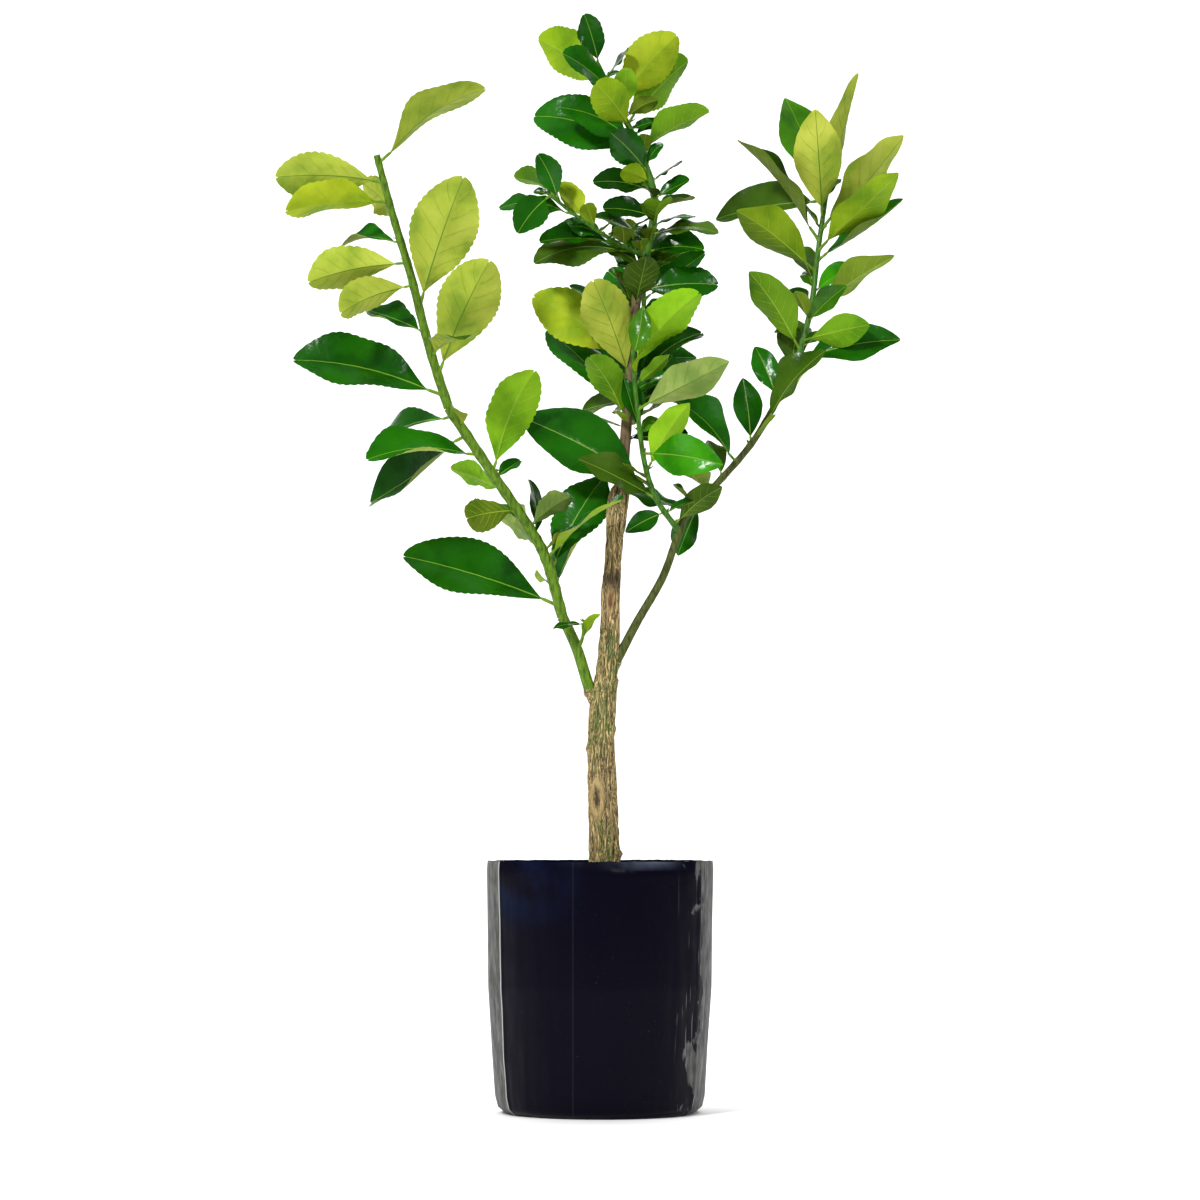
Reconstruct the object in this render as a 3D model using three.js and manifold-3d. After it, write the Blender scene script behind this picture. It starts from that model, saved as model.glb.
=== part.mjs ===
// A young citrus tree in a black film planter bag. One trunk carries three grafted kinds,
// each with its own leaf.
// Millimetres, +Z up. The origin is the middle of the bag's underside, and the tree's broad
// face looks along -Y.
import * as THREE from "three";
import { mergeVertices } from "three/addons/utils/BufferGeometryUtils.js";
import Module from "manifold-3d";

const wasm = await Module();
wasm.setup();

const GAP = 0.3; // between pieces that touch

// Planter bag: blown film with gussets, which fills out nearly round and keeps four upright creases.
const BAG_PROFILE = [
  // height, radius
  [0, 75],
  [5, 81],
  [14, 83],
  [100, 89],
  [200, 90.5],
];
const BAG_WALL = 1.5;
const BAG_SIDES = 48;
const CREASES = [30, 150, 210, 330]; // degrees round from +X
const CREASE_HEIGHT = 1.6;
const CREASE_SPREAD = 6; // degrees

// Potting mix, up to the flat cut under the trunk.
const SOIL_TOP = 176;
const SOIL_DROP = 3; // at the bag's wall
const SOIL_RIPPLE = 0.8;
const SEAT_RADIUS = 22;

// Trunk, from the cut at the potting mix to the stub above the highest graft.
const TRUNK = [
  // across, height, radius
  [3.4, SOIL_TOP + GAP, 15.5],
  [3.3, 184, 13.2],
  [3.2, 200, 11.8],
  [1.6, 250, 11.4],
  [1.0, 293, 10.0],
  [2.2, 318, 10.4],
  [5.0, 343, 8.8],
  [7.4, 370, 7.9],
  [8.2, 397, 6.8],
  [7.8, 414, 7.3],
  [9.7, 431, 6.1],
  [11.0, 451, 6.2],
  [13.0, 471, 7.4],
  [14.6, 488, 8.4],
  [17.2, 501, 6.2],
];
const TRUNK_SIDES = 12;
const FLUTE = 0.05; // share of the radius

// Leaves: width and petiole are shares of the length, and angles are degrees.
const BROAD = { width: 0.5, petiole: 0.11, blunt: 0.85, fold: 16, droop: 16 };
const SMALL = { width: 0.62, petiole: 0.12, blunt: 0.9, fold: 16, droop: 22 };
const LONG = { width: 0.48, petiole: 0.12, blunt: 0.4, fold: 18, droop: 10 };
const LEAF_THICKNESS = 0.013; // share of the length
const LEAF_THINNEST = 1;
const PETIOLE_HALF = [1.4, 1.1]; // across, through
const BLADE_STATIONS = [0.2, 0.46, 0.74, 0.93];
const SHORT_BLADE = 62; // a shorter leaf has fewer stations
const SHORT_BLADE_STATIONS = [0.26, 0.6, 0.9];
const LEAF_TURN = -144; // from one leaf to the next round the shoot
const LIGHT_ROLL = 40; // leaves at the sides turn their upper face to the light, which comes along +Y
const LEAF_CLEARANCE = 0.5;
const TRIES = 7; // a leaf that would touch something is turned and tried again, and then left out
const CROWN = new THREE.Box3(new THREE.Vector3(-266, -170, 330), new THREE.Vector3(252, 170, 884));

// Twigs that branch off a shoot.
const TWIG_TURN = 137;
const TWIG_LENGTH = 34;
const TWIG_RADIUS = [1.5, 0.9];
const TWIG_LEAVES = 3;

// Bare boughs, each from inside what carries it to where its foliage begins.
const BOUGHS = [
  {
    name: "left_bough",
    color: 0x69822f,
    path: [[2, 0, 304], [-2, 0, 324], [-8.8, -1, 338], [-18.4, -3, 368.6], [-30, -6, 394]],
    radius: [4.9, 4.3],
    collar: 2.2,
  },
  {
    name: "right_bough",
    color: 0x4c4a26,
    path: [[4, 0, 346], [14, 1, 361], [30, 4, 391], [50, 9, 426], [61, 13, 456], [68, 16, 475]],
    radius: [3.6, 3.0],
    collar: 1.6,
  },
  {
    name: "centre_leader",
    color: 0x6b5a33,
    path: [[16.6, 0, 497], [19, 1, 516], [20, 2, 532]],
    radius: [4.5, 4.3],
    collar: 0.6,
  },
];

// Foliage, one shoot to a mass. tips holds the leaves that draw the crown's outline: place along
// the shoot, x and z of the tip as seen from the front, its depth behind the root, and how far
// the upper side faces the front, where -1 shows the whole underside.
const MASSES = [
  {
    name: "left_lower_foliage",
    seed: 360,
    kind: BROAD,
    path: [[-30, -6, 394], [-42, -12, 437], [-56, -18, 464], [-87, -30, 509], [-120, -42, 558]],
    radius: [4.3, 3.9],
    leaves: 13,
    phase: 45,
    rise: [30, 45],
    length: [86, 74],
    tips: [
      [0, -158, 443, -8, 0.75],
      [1, -14, 480, 60, 0.4],
      [2, 3, 506, 26, 0.9],
      [4, -84, 478, 40, -0.5],
      [5, -57, 505, 14, 0.4],
      [6, -23, 491, -24, -0.75],
      [7, -107, 473, -44, -0.7],
      [8, -120, 513, 20, -0.6],
      [9, -52, 592, -18, -0.9],
      [10, -187, 520, -40, 0.5],
      [11, -184, 485, 90, 0.4],
      [12, -185, 524, 56, 0.4],
    ],
  },
  {
    name: "left_upper_foliage",
    seed: 216,
    kind: BROAD,
    path: [[-120, -42, 558], [-135, -52, 605], [-149, -65, 660], [-163, -77, 707], [-175, -88, 752]],
    radius: [3.9, 2.6],
    leaves: 12,
    phase: 255,
    rise: [30, 50],
    length: [80, 74],
    tips: [
      [0, -246, 600, -10, 0.8],
      [1, -88, 680, -45, -0.9],
      [3, -187, 640, 30, 0.6],
      [4, -109, 747, -42, -0.9],
      [5, -208, 637, -34, -0.7],
      [6, -234, 662, -16, -0.85],
      [7, -207, 691, 26, 0.4],
      [8, -190, 742, 40, -0.5],
      [9, -252, 719, -34, -0.5],
      [10, -260, 746, -14, -1],
      [11, -91, 817, -14, -0.4],
    ],
  },
  {
    name: "right_lower_foliage",
    seed: 340,
    kind: LONG,
    path: [[68, 16, 475], [93, 25, 502], [127, 35, 543], [160, 48, 603]],
    radius: [3.0, 2.5],
    leaves: 9,
    phase: 165,
    rise: [20, 45],
    length: [60, 66],
    tips: [
      [1, 62, 443, 20, 0.9],
      [3, 86, 536, 24, 0.7],
      [4, 56, 570, -30, 0.7],
      [5, 114, 586, 0, 1],
      [6, 181, 608, -34, 0.6],
      [7, 124, 611, 18, 1],
    ],
  },
  {
    name: "right_upper_foliage",
    seed: 24,
    kind: LONG,
    path: [[160, 48, 603], [173, 57, 651], [180, 66, 703], [188, 75, 755]],
    radius: [2.5, 1.8],
    leaves: 18,
    phase: 328,
    rise: [30, 60],
    length: [68, 70],
    tips: [
      [0, 241, 616, -6, 0.9],
      [1, 119, 671, -24, -0.8],
      [2, 216, 628, -34, -0.9],
      [3, 139, 622, 10, 0.7],
      [4, 198, 660, -20, 0.85],
      [5, 236, 684, -8, -0.5],
      [6, 150, 655, 30, 0.7],
      [7, 204, 676, 16, 0.8],
      [8, 150, 690, 50, 0.5],
      [9, 109, 720, -36, -0.8],
      [10, 243, 729, 0, 0.35],
      [11, 239, 750, -44, -0.6],
      [12, 109, 777, -16, 0.15],
      [13, 243, 780, 2, -0.6],
      [14, 172, 801, -46, -0.95],
      [15, 148, 810, 36, 0.8],
      [16, 88, 709, 50, 0.6],
      [17, 207, 830, -6, -0.35],
    ],
  },
  {
    name: "inner_shoot_foliage",
    seed: 107,
    kind: LONG,
    path: [[64, 14, 464], [46, 0, 488], [36, -11, 516], [30, -19, 557], [26, -24, 606]],
    radius: [2.4, 1.8],
    leaves: 10,
    phase: 285,
    rise: [25, 45],
    length: [56, 64],
    tips: [
      [0, 98, 499, -20, -0.85],
      [1, 20, 462, -16, 1],
      [2, -18, 521, -34, 0.7],
      [3, -65, 555, -6, 0.95],
      [4, 72, 566, -10, -0.85],
      [5, 99, 516, -44, 0.95],
      [7, 104, 599, -26, -0.8],
      [8, 56, 605, -10, -0.6],
    ],
  },
  {
    name: "centre_mid_foliage",
    seed: 159,
    kind: BROAD,
    path: [[20, 2, 532], [24, 4, 586], [28, 4, 642], [37, 2, 685]],
    radius: [4.2, 3.6],
    leaves: 20,
    phase: 345,
    rise: [25, 45],
    length: [66, 58],
    twigs: 3,
    tips: [
      [1, -20, 571, 16, -0.6],
      [2, -9, 603, -30, -0.8],
      [3, -42, 624, 34, 0.7],
      [5, 82, 622, 24, 0.7],
      [6, -6, 664, -40, -0.9],
      [7, 80, 654, -26, -0.8],
      [8, -54, 651, 6, -1],
      [9, -14, 640, 26, 0.6],
      [10, 20, 650, 46, 0.5],
      [12, 10, 672, 26, 0.6],
      [15, 95, 660, 0, 0.95],
      [16, 76, 681, 24, 0.7],
      [17, 52, 700, 50, 0.5],
      [18, 2, 690, -4, 0.8],
    ],
  },
  {
    name: "centre_top_foliage",
    seed: 17,
    kind: SMALL,
    path: [[37, 2, 685], [44, 1, 731], [31, 0, 774], [15, -1, 807], [-2, -3, 842]],
    radius: [3.4, 1.7],
    leaves: 26,
    phase: 349,
    rise: [20, 50],
    length: [50, 44],
    twigs: 5,
    tips: [
      [2, 95, 701, -14, 0.5],
      [4, 2, 721, -16, 0.8],
      [5, 76, 729, 14, 0.4],
      [6, 72, 744, -12, 0.7],
      [7, -6, 742, -8, 0.8],
      [8, 14, 750, -24, -0.6],
      [9, 8, 782, -34, 0.8],
      [10, 51, 773, -8, 0.8],
      [11, -53, 795, 20, 0.9],
      [12, 88, 799, -14, -0.5],
      [13, -32, 802, -18, 0.85],
      [14, 52, 794, 12, 0.7],
      [15, -4, 821, -46, -0.85],
      [16, 71, 840, 34, -0.6],
      [17, 46, 808, -14, -0.7],
      [18, 22, 834, -26, -0.8],
      [19, 64, 864, -6, -0.9],
      [21, -30, 845, -40, 0.6],
      [22, -50, 857, 36, -0.7],
      [25, -13, 877, -14, 0.9],
    ],
  },
  {
    name: "centre_side_foliage",
    seed: 87,
    kind: SMALL,
    path: [[37, 2, 685], [12, -14, 695], [-18, -29, 713], [-42, -41, 730]],
    radius: [1.9, 1.2],
    leaves: 11,
    phase: 200,
    rise: [20, 50],
    length: [38, 32],
    twigs: 4,
    tips: [
      [1, -53, 677, -10, 0.7],
      [3, -50, 692, 10, 0.7],
      [4, -26, 706, 14, 0.8],
      [5, -12, 725, -20, -0.8],
      [6, -34, 741, 6, -0.8],
      [7, -81, 721, -8, 0.6],
      [8, -69, 746, 26, -0.2],
      [9, -50, 765, -16, 0.9],
      [10, -66, 701, -30, 0.85],
    ],
  },
  {
    name: "centre_back_foliage",
    seed: 207,
    kind: BROAD,
    path: [[20.7, 3, 541], [23, 22, 566], [30, 44, 610], [36, 62, 654], [34, 74, 696]],
    radius: [2.8, 1.6],
    leaves: 15,
    phase: 120,
    rise: [20, 50],
    length: [72, 58],
    twigs: 3,
    tips: [],
  },
  {
    name: "left_sprig",
    seed: 389,
    kind: LONG,
    path: [[-18, -3, 368], [-14, -12, 377], [-12, -17, 391]],
    radius: [1.6, 1.0],
    leaves: 4,
    phase: 255,
    rise: [35, 60],
    length: [30, 22],
    tips: [
      [1, 0, 397, -12, -0.6],
      [3, -38, 385, -6, 0.5],
    ],
  },
];
const FOLIAGE_COLOR = 0x3f7a16;

// An eye in front of the tree and the point that it looks at.
const EYE = new THREE.Vector3(0, -3000, 230);
const AIM = new THREE.Vector3(0, 0, 408);

const radians = THREE.MathUtils.degToRad;
const degrees = THREE.MathUtils.radToDeg;
const mix = THREE.MathUtils.lerp;
const vector = (point) => new THREE.Vector3(...point);

// The same numbers from 0 to 1 each time, for one seed.
function seededRandom(seed) {
  let state = seed >>> 0;
  return () => {
    state = (Math.imul(state, 1664525) + 1013904223) >>> 0;
    return state / 4294967296;
  };
}

// A closed surface through rings of points, with a fan over each end.
function loft(rings) {
  const count = rings[0].length;
  const sumOf = (ring) => ring.reduce((sum, point) => sum.add(point), new THREE.Vector3());
  const middleOf = (ring) => sumOf(ring).divideScalar(count);
  const points = [...rings.flat(), middleOf(rings[0]), middleOf(rings.at(-1))];
  const index = [];
  const first = rings.length * count;
  const last = first + 1;
  const top = first - count;
  for (let side = 0; side < count; side++) {
    const next = (side + 1) % count;
    index.push(first, next, side, last, top + side, top + next);
    for (let row = 0; row < top; row += count) {
      index.push(row + side, row + next, row + count + next);
      index.push(row + side, row + count + next, row + count + side);
    }
  }
  const geometry = new THREE.BufferGeometry().setFromPoints(points);
  geometry.setIndex(index);
  return geometry;
}

// A closed body with its bounding box.
function body(solid) {
  const corners = new THREE.BufferAttribute(solid.getMesh().vertProperties, 3);
  return { solid, box: new THREE.Box3().setFromBufferAttribute(corners) };
}

function lofted(rings) {
  const merged = mergeVertices(loft(rings), 1e-4);
  const vertProperties = merged.attributes.position.array;
  const triVerts = new Uint32Array(merged.index.array);
  return body(new wasm.Manifold(new wasm.Mesh({ numProp: 3, vertProperties, triVerts })));
}

function touch(one, other) {
  if (!one.box.intersectsBox(other.box)) return false;
  return one.solid.intersect(other.solid).getMesh().triVerts.length > 0;
}

const routeOf = (path) => new THREE.CatmullRomCurve3(path.map(vector), false, "catmullrom", 0.5);

// A round limb along a curve, thicker by its collar where it leaves what carries it. extra
// enlarges it all round.
function limb(curve, radius, collar, sides, steps, extra = 0) {
  const chord = curve.getPoint(1).sub(curve.getPoint(0)).normalize();
  const reference = Math.abs(chord.y) < 0.7 ? new THREE.Vector3(0, 1, 0) : new THREE.Vector3(1, 0, 0);
  const rings = [];
  for (let step = 0; step <= steps; step++) {
    const share = step / steps;
    const along = curve.getTangent(share);
    const right = new THREE.Vector3().crossVectors(reference, along).normalize();
    const away = new THREE.Vector3().crossVectors(along, right);
    const reach = mix(radius[0], radius[1], share) + collar * (1 - share) ** 5 + extra;
    const centre = curve.getPoint(share);
    if (step === 0) centre.addScaledVector(along, -extra);
    if (step === steps) centre.addScaledVector(along, extra);
    const ring = Array.from({ length: sides }, (_, side) => {
      const turn = (2 * Math.PI * side) / sides;
      const across = centre.clone().addScaledVector(right, reach * Math.cos(turn));
      return across.addScaledVector(away, reach * Math.sin(turn));
    });
    rings.push(ring);
  }
  return lofted(rings);
}

// The trunk's rings are level, as its cut is.
function trunkLimb(extra = 0) {
  const rings = TRUNK.map(([across, height, radius], station) => {
    const top = station === TRUNK.length - 1 ? height + extra : height;
    return Array.from({ length: TRUNK_SIDES }, (_, side) => {
      const turn = (2 * Math.PI * side) / TRUNK_SIDES;
      const reach = radius * (1 + FLUTE * Math.sin(3 * turn + height / 30)) + extra;
      return new THREE.Vector3(across + reach * Math.cos(turn), reach * Math.sin(turn), top);
    });
  });
  return lofted(rings);
}

// The bag's outside radius at a height and an angle, in degrees.
function bagRadius(height, angle) {
  const above = Math.max(1, BAG_PROFILE.findIndex(([station]) => station >= height));
  const [low, high] = [BAG_PROFILE[above - 1], BAG_PROFILE[above]];
  const radius = mix(low[1], high[1], (height - low[0]) / (high[0] - low[0]));
  const nearest = Math.min(...CREASES.map((crease) => Math.abs(crease - angle)));
  return radius + CREASE_HEIGHT * Math.exp(-((nearest / CREASE_SPREAD) ** 2));
}

function bagRing(height, inset) {
  return Array.from({ length: BAG_SIDES }, (_, side) => {
    const angle = (360 * side) / BAG_SIDES;
    const reach = bagRadius(height, angle) - inset;
    return new THREE.Vector3(reach * Math.cos(radians(angle)), reach * Math.sin(radians(angle)), height);
  });
}

function roundRing(height, radius, ripple = 0) {
  return Array.from({ length: BAG_SIDES }, (_, side) => {
    const turn = (2 * Math.PI * side) / BAG_SIDES;
    const level = height + ripple * Math.sin(5 * turn);
    return new THREE.Vector3(radius * Math.cos(turn), radius * Math.sin(turn), level);
  });
}

function planterBag() {
  const heights = BAG_PROFILE.map(([height]) => height);
  const outside = heights.map((height) => bagRing(height, 0));
  const inside = [BAG_WALL, ...heights.slice(1)].reverse().map((height) => bagRing(height, BAG_WALL));
  return lofted([...outside, ...inside]);
}

function pottingMix() {
  const edge = SOIL_TOP - SOIL_DROP;
  const heights = BAG_PROFILE.map(([height]) => height).filter((height) => height > 0 && height < edge);
  const sides = [BAG_WALL + GAP, ...heights, edge].map((height) => bagRing(height, BAG_WALL + GAP));
  const shoulderRadius = mix(SEAT_RADIUS, BAG_PROFILE.at(-1)[1], 0.6);
  const shoulder = roundRing(SOIL_TOP - SOIL_DROP / 2, shoulderRadius, SOIL_RIPPLE);
  return lofted([...sides, shoulder, roundRing(SOIL_TOP, SEAT_RADIUS)]);
}

// Where a leaf's midrib is at a share of its length, and which way the blade lies there.
function bladeFrame(leaf, share) {
  const bend = radians(Math.max(leaf.droop, 1));
  const start = radians(leaf.rise);
  const now = start - bend * share;
  const heading = radians(leaf.heading);
  const ahead = new THREE.Vector3(Math.cos(heading), Math.sin(heading), 0);
  const up = new THREE.Vector3(0, 0, 1);
  const point = leaf.root
    .clone()
    .addScaledVector(ahead, (leaf.length * (Math.sin(start) - Math.sin(now))) / bend)
    .addScaledVector(up, (leaf.length * (Math.cos(now) - Math.cos(start))) / bend);
  const along = ahead.multiplyScalar(Math.cos(now)).addScaledVector(up, Math.sin(now));
  const roll = radians(leaf.roll + leaf.twist * share);
  const across = new THREE.Vector3(-Math.sin(heading), Math.cos(heading), 0).applyAxisAngle(along, roll);
  const upper = new THREE.Vector3().crossVectors(along, across);
  return { point, across, upper };
}

// Half the blade's width at a share of the blade, from the petiole to the tip.
function halfWidth(leaf, share) {
  const fullness = mix(0.9, 1.15 - 0.65 * leaf.kind.blunt, share);
  return (leaf.length * leaf.kind.width * Math.sin(Math.PI * share) ** fullness) / 2;
}

// A folded blade on a petiole whose root is sunk in the stem. With extra it tests for room,
// from a ring on.
function leafBody(leaf, extra = 0, from = 0) {
  const { petiole } = leaf.kind;
  const thick = Math.max(LEAF_THINNEST, LEAF_THICKNESS * leaf.length) / 2;
  const fold = radians(leaf.fold);
  const ring = (share, half, depth) => {
    const { point, across, upper } = bladeFrame(leaf, share);
    const corner = (right, rise) =>
      point.clone().addScaledVector(across, right).addScaledVector(upper, rise);
    const edge = half + extra;
    const face = depth + extra;
    const lift = edge * Math.sin(fold);
    return [
      corner(edge * Math.cos(fold), lift),
      corner(0, face),
      corner(-edge * Math.cos(fold), lift),
      corner(0, -face),
    ];
  };
  const stalk = [0, petiole].map((share) => ring(share, ...PETIOLE_HALF));
  const stations = leaf.length < SHORT_BLADE ? SHORT_BLADE_STATIONS : BLADE_STATIONS;
  const blade = stations.map((share) => ring(mix(petiole, 1, share), halfWidth(leaf, share), thick));
  return lofted([...stalk, ...blade, ring(1, thick, thick / 2)].slice(from));
}

// The point at a depth that an eye in front of the tree sees at x and z.
function seenAt(x, z, depth) {
  const ahead = AIM.clone().sub(EYE).normalize();
  const up = new THREE.Vector3(1, 0, 0).cross(ahead);
  const ray = ahead.multiplyScalar(-EYE.y).addScaledVector(up, z - AIM.z);
  ray.x = x;
  return EYE.clone().addScaledVector(ray, (depth - EYE.y) / ray.y);
}

// Heading, rise, length and roll that bring a leaf's tip to its place and its upper side to the front.
function aimLeaf(leaf, [, x, z, depth, facing]) {
  const reach = seenAt(x, z, leaf.root.y + depth).sub(leaf.root);
  const heading = Math.atan2(reach.y, reach.x);
  const slope = Math.asin(reach.z / reach.length());
  const halfBend = radians(leaf.kind.droop) / 2;
  const across = Math.cos(heading);
  const upright = Math.sin(slope) * Math.sin(heading);
  const share = THREE.MathUtils.clamp(facing / Math.hypot(across, upright), -1, 1);
  const middle = Math.atan2(across, upright);
  leaf.heading = degrees(heading);
  leaf.rise = degrees(slope + halfBend);
  leaf.length = (reach.length() * halfBend) / Math.sin(halfBend);
  leaf.roll = degrees(Math.sign(middle) * (Math.abs(middle) - Math.acos(share)));
  leaf.droop = leaf.kind.droop;
  leaf.twist /= 3;
}

// The leaf that the rule gives at one place on a shoot, or the one whose tip is stated. Each new
// attempt turns it a little further.
function leafAt(shoot, place, attempt) {
  const draw = seededRandom(shoot.seed * 7919 + 97 * place + 1009 * attempt);
  const wander = (amount) => (2 * draw() - 1) * amount;
  const share = (place + 0.6) / shoot.leaves;
  const leaf = {
    kind: shoot.kind,
    root: shoot.curve.getPoint(share),
    heading: shoot.phase + LEAF_TURN * place + wander(14 + 10 * attempt),
    rise: mix(shoot.rise[0], shoot.rise[1], share) + wander(10 + 6 * attempt),
    length: mix(shoot.length[0], shoot.length[1], share) * (1 + wander(0.1)) * (1 - 0.05 * attempt),
    roll: wander(26),
    twist: wander(12),
    droop: shoot.kind.droop + wander(8),
    fold: shoot.kind.fold + wander(6),
  };
  leaf.roll += LIGHT_ROLL * Math.cos(radians(leaf.heading));
  const tip = shoot.tips.find((row) => row[0] === place);
  if (tip) {
    aimLeaf(leaf, tip);
    leaf.heading += wander(5 * attempt);
    leaf.rise += wander(5 * attempt);
    leaf.roll += wander(6 * attempt);
    leaf.length *= 1 - 0.03 * attempt;
  }
  return leaf;
}

const limbs = [];
const blades = [];

// A limb that starts inside what carries it, cut back to stand clear of it.
function grow(name, curve, radius, collar, sides, steps) {
  const own = limb(curve, radius, collar, sides, steps);
  let { solid } = own;
  for (const other of limbs) {
    if (own.box.intersectsBox(other.larger.box)) solid = solid.subtract(other.larger.solid);
  }
  const larger = limb(curve, radius, collar, sides, steps, GAP);
  const grown = { name, larger, curve, ...body(solid) };
  limbs.push(grown);
  return grown;
}

// Leaves are added to the mass while they have room.
function addLeaf(mass, shoot, place) {
  for (let attempt = 0; attempt < TRIES; attempt++) {
    const leaf = leafAt(shoot, place, attempt);
    const whole = leafBody(leaf, LEAF_CLEARANCE);
    const blade = leafBody(leaf, LEAF_CLEARANCE, 1);
    const outer = leafBody(leaf, LEAF_CLEARANCE, 3);
    const clearOfLimb = (other) => !touch(other.name === mass.name ? outer : whole, other);
    const clearOfLeaf = (other) => !touch(other.name === mass.name ? blade : whole, other);
    if (CROWN.containsBox(blade.box) && limbs.every(clearOfLimb) && blades.every(clearOfLeaf)) {
      blades.push({ name: mass.name, ...whole });
      mass.solid = mass.solid.add(leafBody(leaf).solid);
      return;
    }
  }
}

// Short side twigs, turned round the shoot by the rule, each fused to it and with leaves of its own.
function addTwigs(mass, shoot) {
  for (let number = 0; number < (shoot.twigs ?? 0); number++) {
    const draw = seededRandom(shoot.seed * 104729 + 31 * number);
    const root = shoot.curve.getPoint((number + 0.7) / (shoot.twigs + 0.4));
    const heading = radians(shoot.phase + TWIG_TURN * number + 30 * draw());
    const rise = radians(mix(30, 60, draw()));
    const length = TWIG_LENGTH * mix(0.8, 1.2, draw());
    const ahead = new THREE.Vector3(Math.cos(heading), Math.sin(heading), 0);
    ahead.multiplyScalar(Math.cos(rise));
    const middle = root.clone().addScaledVector(ahead, 0.5 * length);
    middle.z += 0.5 * length * Math.sin(rise) - 1;
    const tip = root.clone().addScaledVector(ahead, length);
    tip.z += length * Math.sin(rise);
    const curve = new THREE.CatmullRomCurve3([root, middle, tip], false, "catmullrom", 0.5);
    const twig = limb(curve, TWIG_RADIUS, 0, 5, 3);
    const others = [...limbs.filter((other) => other.name !== mass.name), ...blades];
    if (others.some((other) => touch(twig, other))) continue;
    mass.solid = mass.solid.add(twig.solid);
    const seed = shoot.seed + 40 * (number + 1);
    const leaves = { ...shoot, seed, curve, leaves: TWIG_LEAVES, tips: [] };
    leaves.length = shoot.length.map((length) => 0.8 * length);
    for (let place = 0; place < TWIG_LEAVES; place++) addLeaf(mass, leaves, place);
  }
}

const part = new THREE.Group();
const pot = new THREE.Group();
const tree = new THREE.Group();
part.add(pot, tree);

function addPiece(group, name, solid, color, roughness) {
  const mesh = solid.getMesh();
  const geometry = new THREE.BufferGeometry();
  geometry.setAttribute("position", new THREE.BufferAttribute(mesh.vertProperties, 3));
  geometry.setIndex(new THREE.BufferAttribute(mesh.triVerts, 1));
  const material = new THREE.MeshStandardMaterial({ color, roughness, metalness: 0 });
  const piece = new THREE.Mesh(geometry, material);
  piece.name = name;
  group.add(piece);
}

addPiece(pot, "planter_bag", planterBag().solid, 0x0f0d1a, 0.25);
addPiece(pot, "potting_mix", pottingMix().solid, 0x2b2119, 0.95);

const trunk = trunkLimb();
limbs.push({ name: "trunk", larger: trunkLimb(GAP), ...trunk });
addPiece(tree, "trunk", trunk.solid, 0x8a7748, 0.8);

for (const { name, color, path, radius, collar } of BOUGHS) {
  const bough = grow(name, routeOf(path), radius, collar, 8, 2 * path.length);
  addPiece(tree, name, bough.solid, color, 0.65);
}

for (const mass of MASSES) {
  mass.curve = routeOf(mass.path);
  mass.solid = grow(mass.name, mass.curve, mass.radius, 0, 6, 2 * mass.path.length - 2).solid;
}
for (const mass of MASSES) {
  for (const [place] of mass.tips) addLeaf(mass, mass, place);
}
for (const mass of MASSES) {
  const aimed = new Set(mass.tips.map(([place]) => place));
  for (let place = 0; place < mass.leaves; place++) {
    if (!aimed.has(place)) addLeaf(mass, mass, place);
  }
}
for (const mass of MASSES) {
  addTwigs(mass, mass);
  addPiece(tree, mass.name, mass.solid, FOLIAGE_COLOR, 0.5);
}

export default part;
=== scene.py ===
import math

import bpy
import numpy as np
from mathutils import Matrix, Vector, noise
from mathutils.bvhtree import BVHTree


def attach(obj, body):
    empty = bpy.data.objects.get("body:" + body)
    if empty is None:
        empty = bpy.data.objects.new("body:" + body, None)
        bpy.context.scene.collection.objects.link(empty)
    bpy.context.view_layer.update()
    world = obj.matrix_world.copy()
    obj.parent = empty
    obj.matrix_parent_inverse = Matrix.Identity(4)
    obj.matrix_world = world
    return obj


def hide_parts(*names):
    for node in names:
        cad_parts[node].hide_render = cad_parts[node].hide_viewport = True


bl_info = {
    "name": "Potted citrus tree",
    "version": (1, 0, 0),
    "blender": (4, 5, 0),
    "location": "View3D > Sidebar > Citrus",
    "description": "Dresses the packed tree with bark, shoots and leaves and sets up its studio",
    "category": "Object",
}

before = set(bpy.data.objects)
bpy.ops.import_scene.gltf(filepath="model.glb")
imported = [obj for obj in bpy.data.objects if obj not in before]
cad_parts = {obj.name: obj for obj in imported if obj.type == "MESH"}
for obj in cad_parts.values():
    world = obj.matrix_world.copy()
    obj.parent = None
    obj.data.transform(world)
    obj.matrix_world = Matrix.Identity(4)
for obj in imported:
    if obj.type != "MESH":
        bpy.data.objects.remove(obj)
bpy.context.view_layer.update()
MM = 0.001
GAP = 0.3
SAME = 0.01  # heights this close are one height
UP = np.array([0, 0, 1.0])
ALONG_AXIS = 0.7  # cosine above which a line counts as along an axis
# Seeded numbers: factor and addend of each step, within 32 bits.
SEED_STEP = (1664525, 1013904223)
SEED_RANGE = 2**32
TANGENT_STEP = 1e-4  # share of a curve over which its direction is taken
SMOOTH_ANGLE = 60

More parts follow.
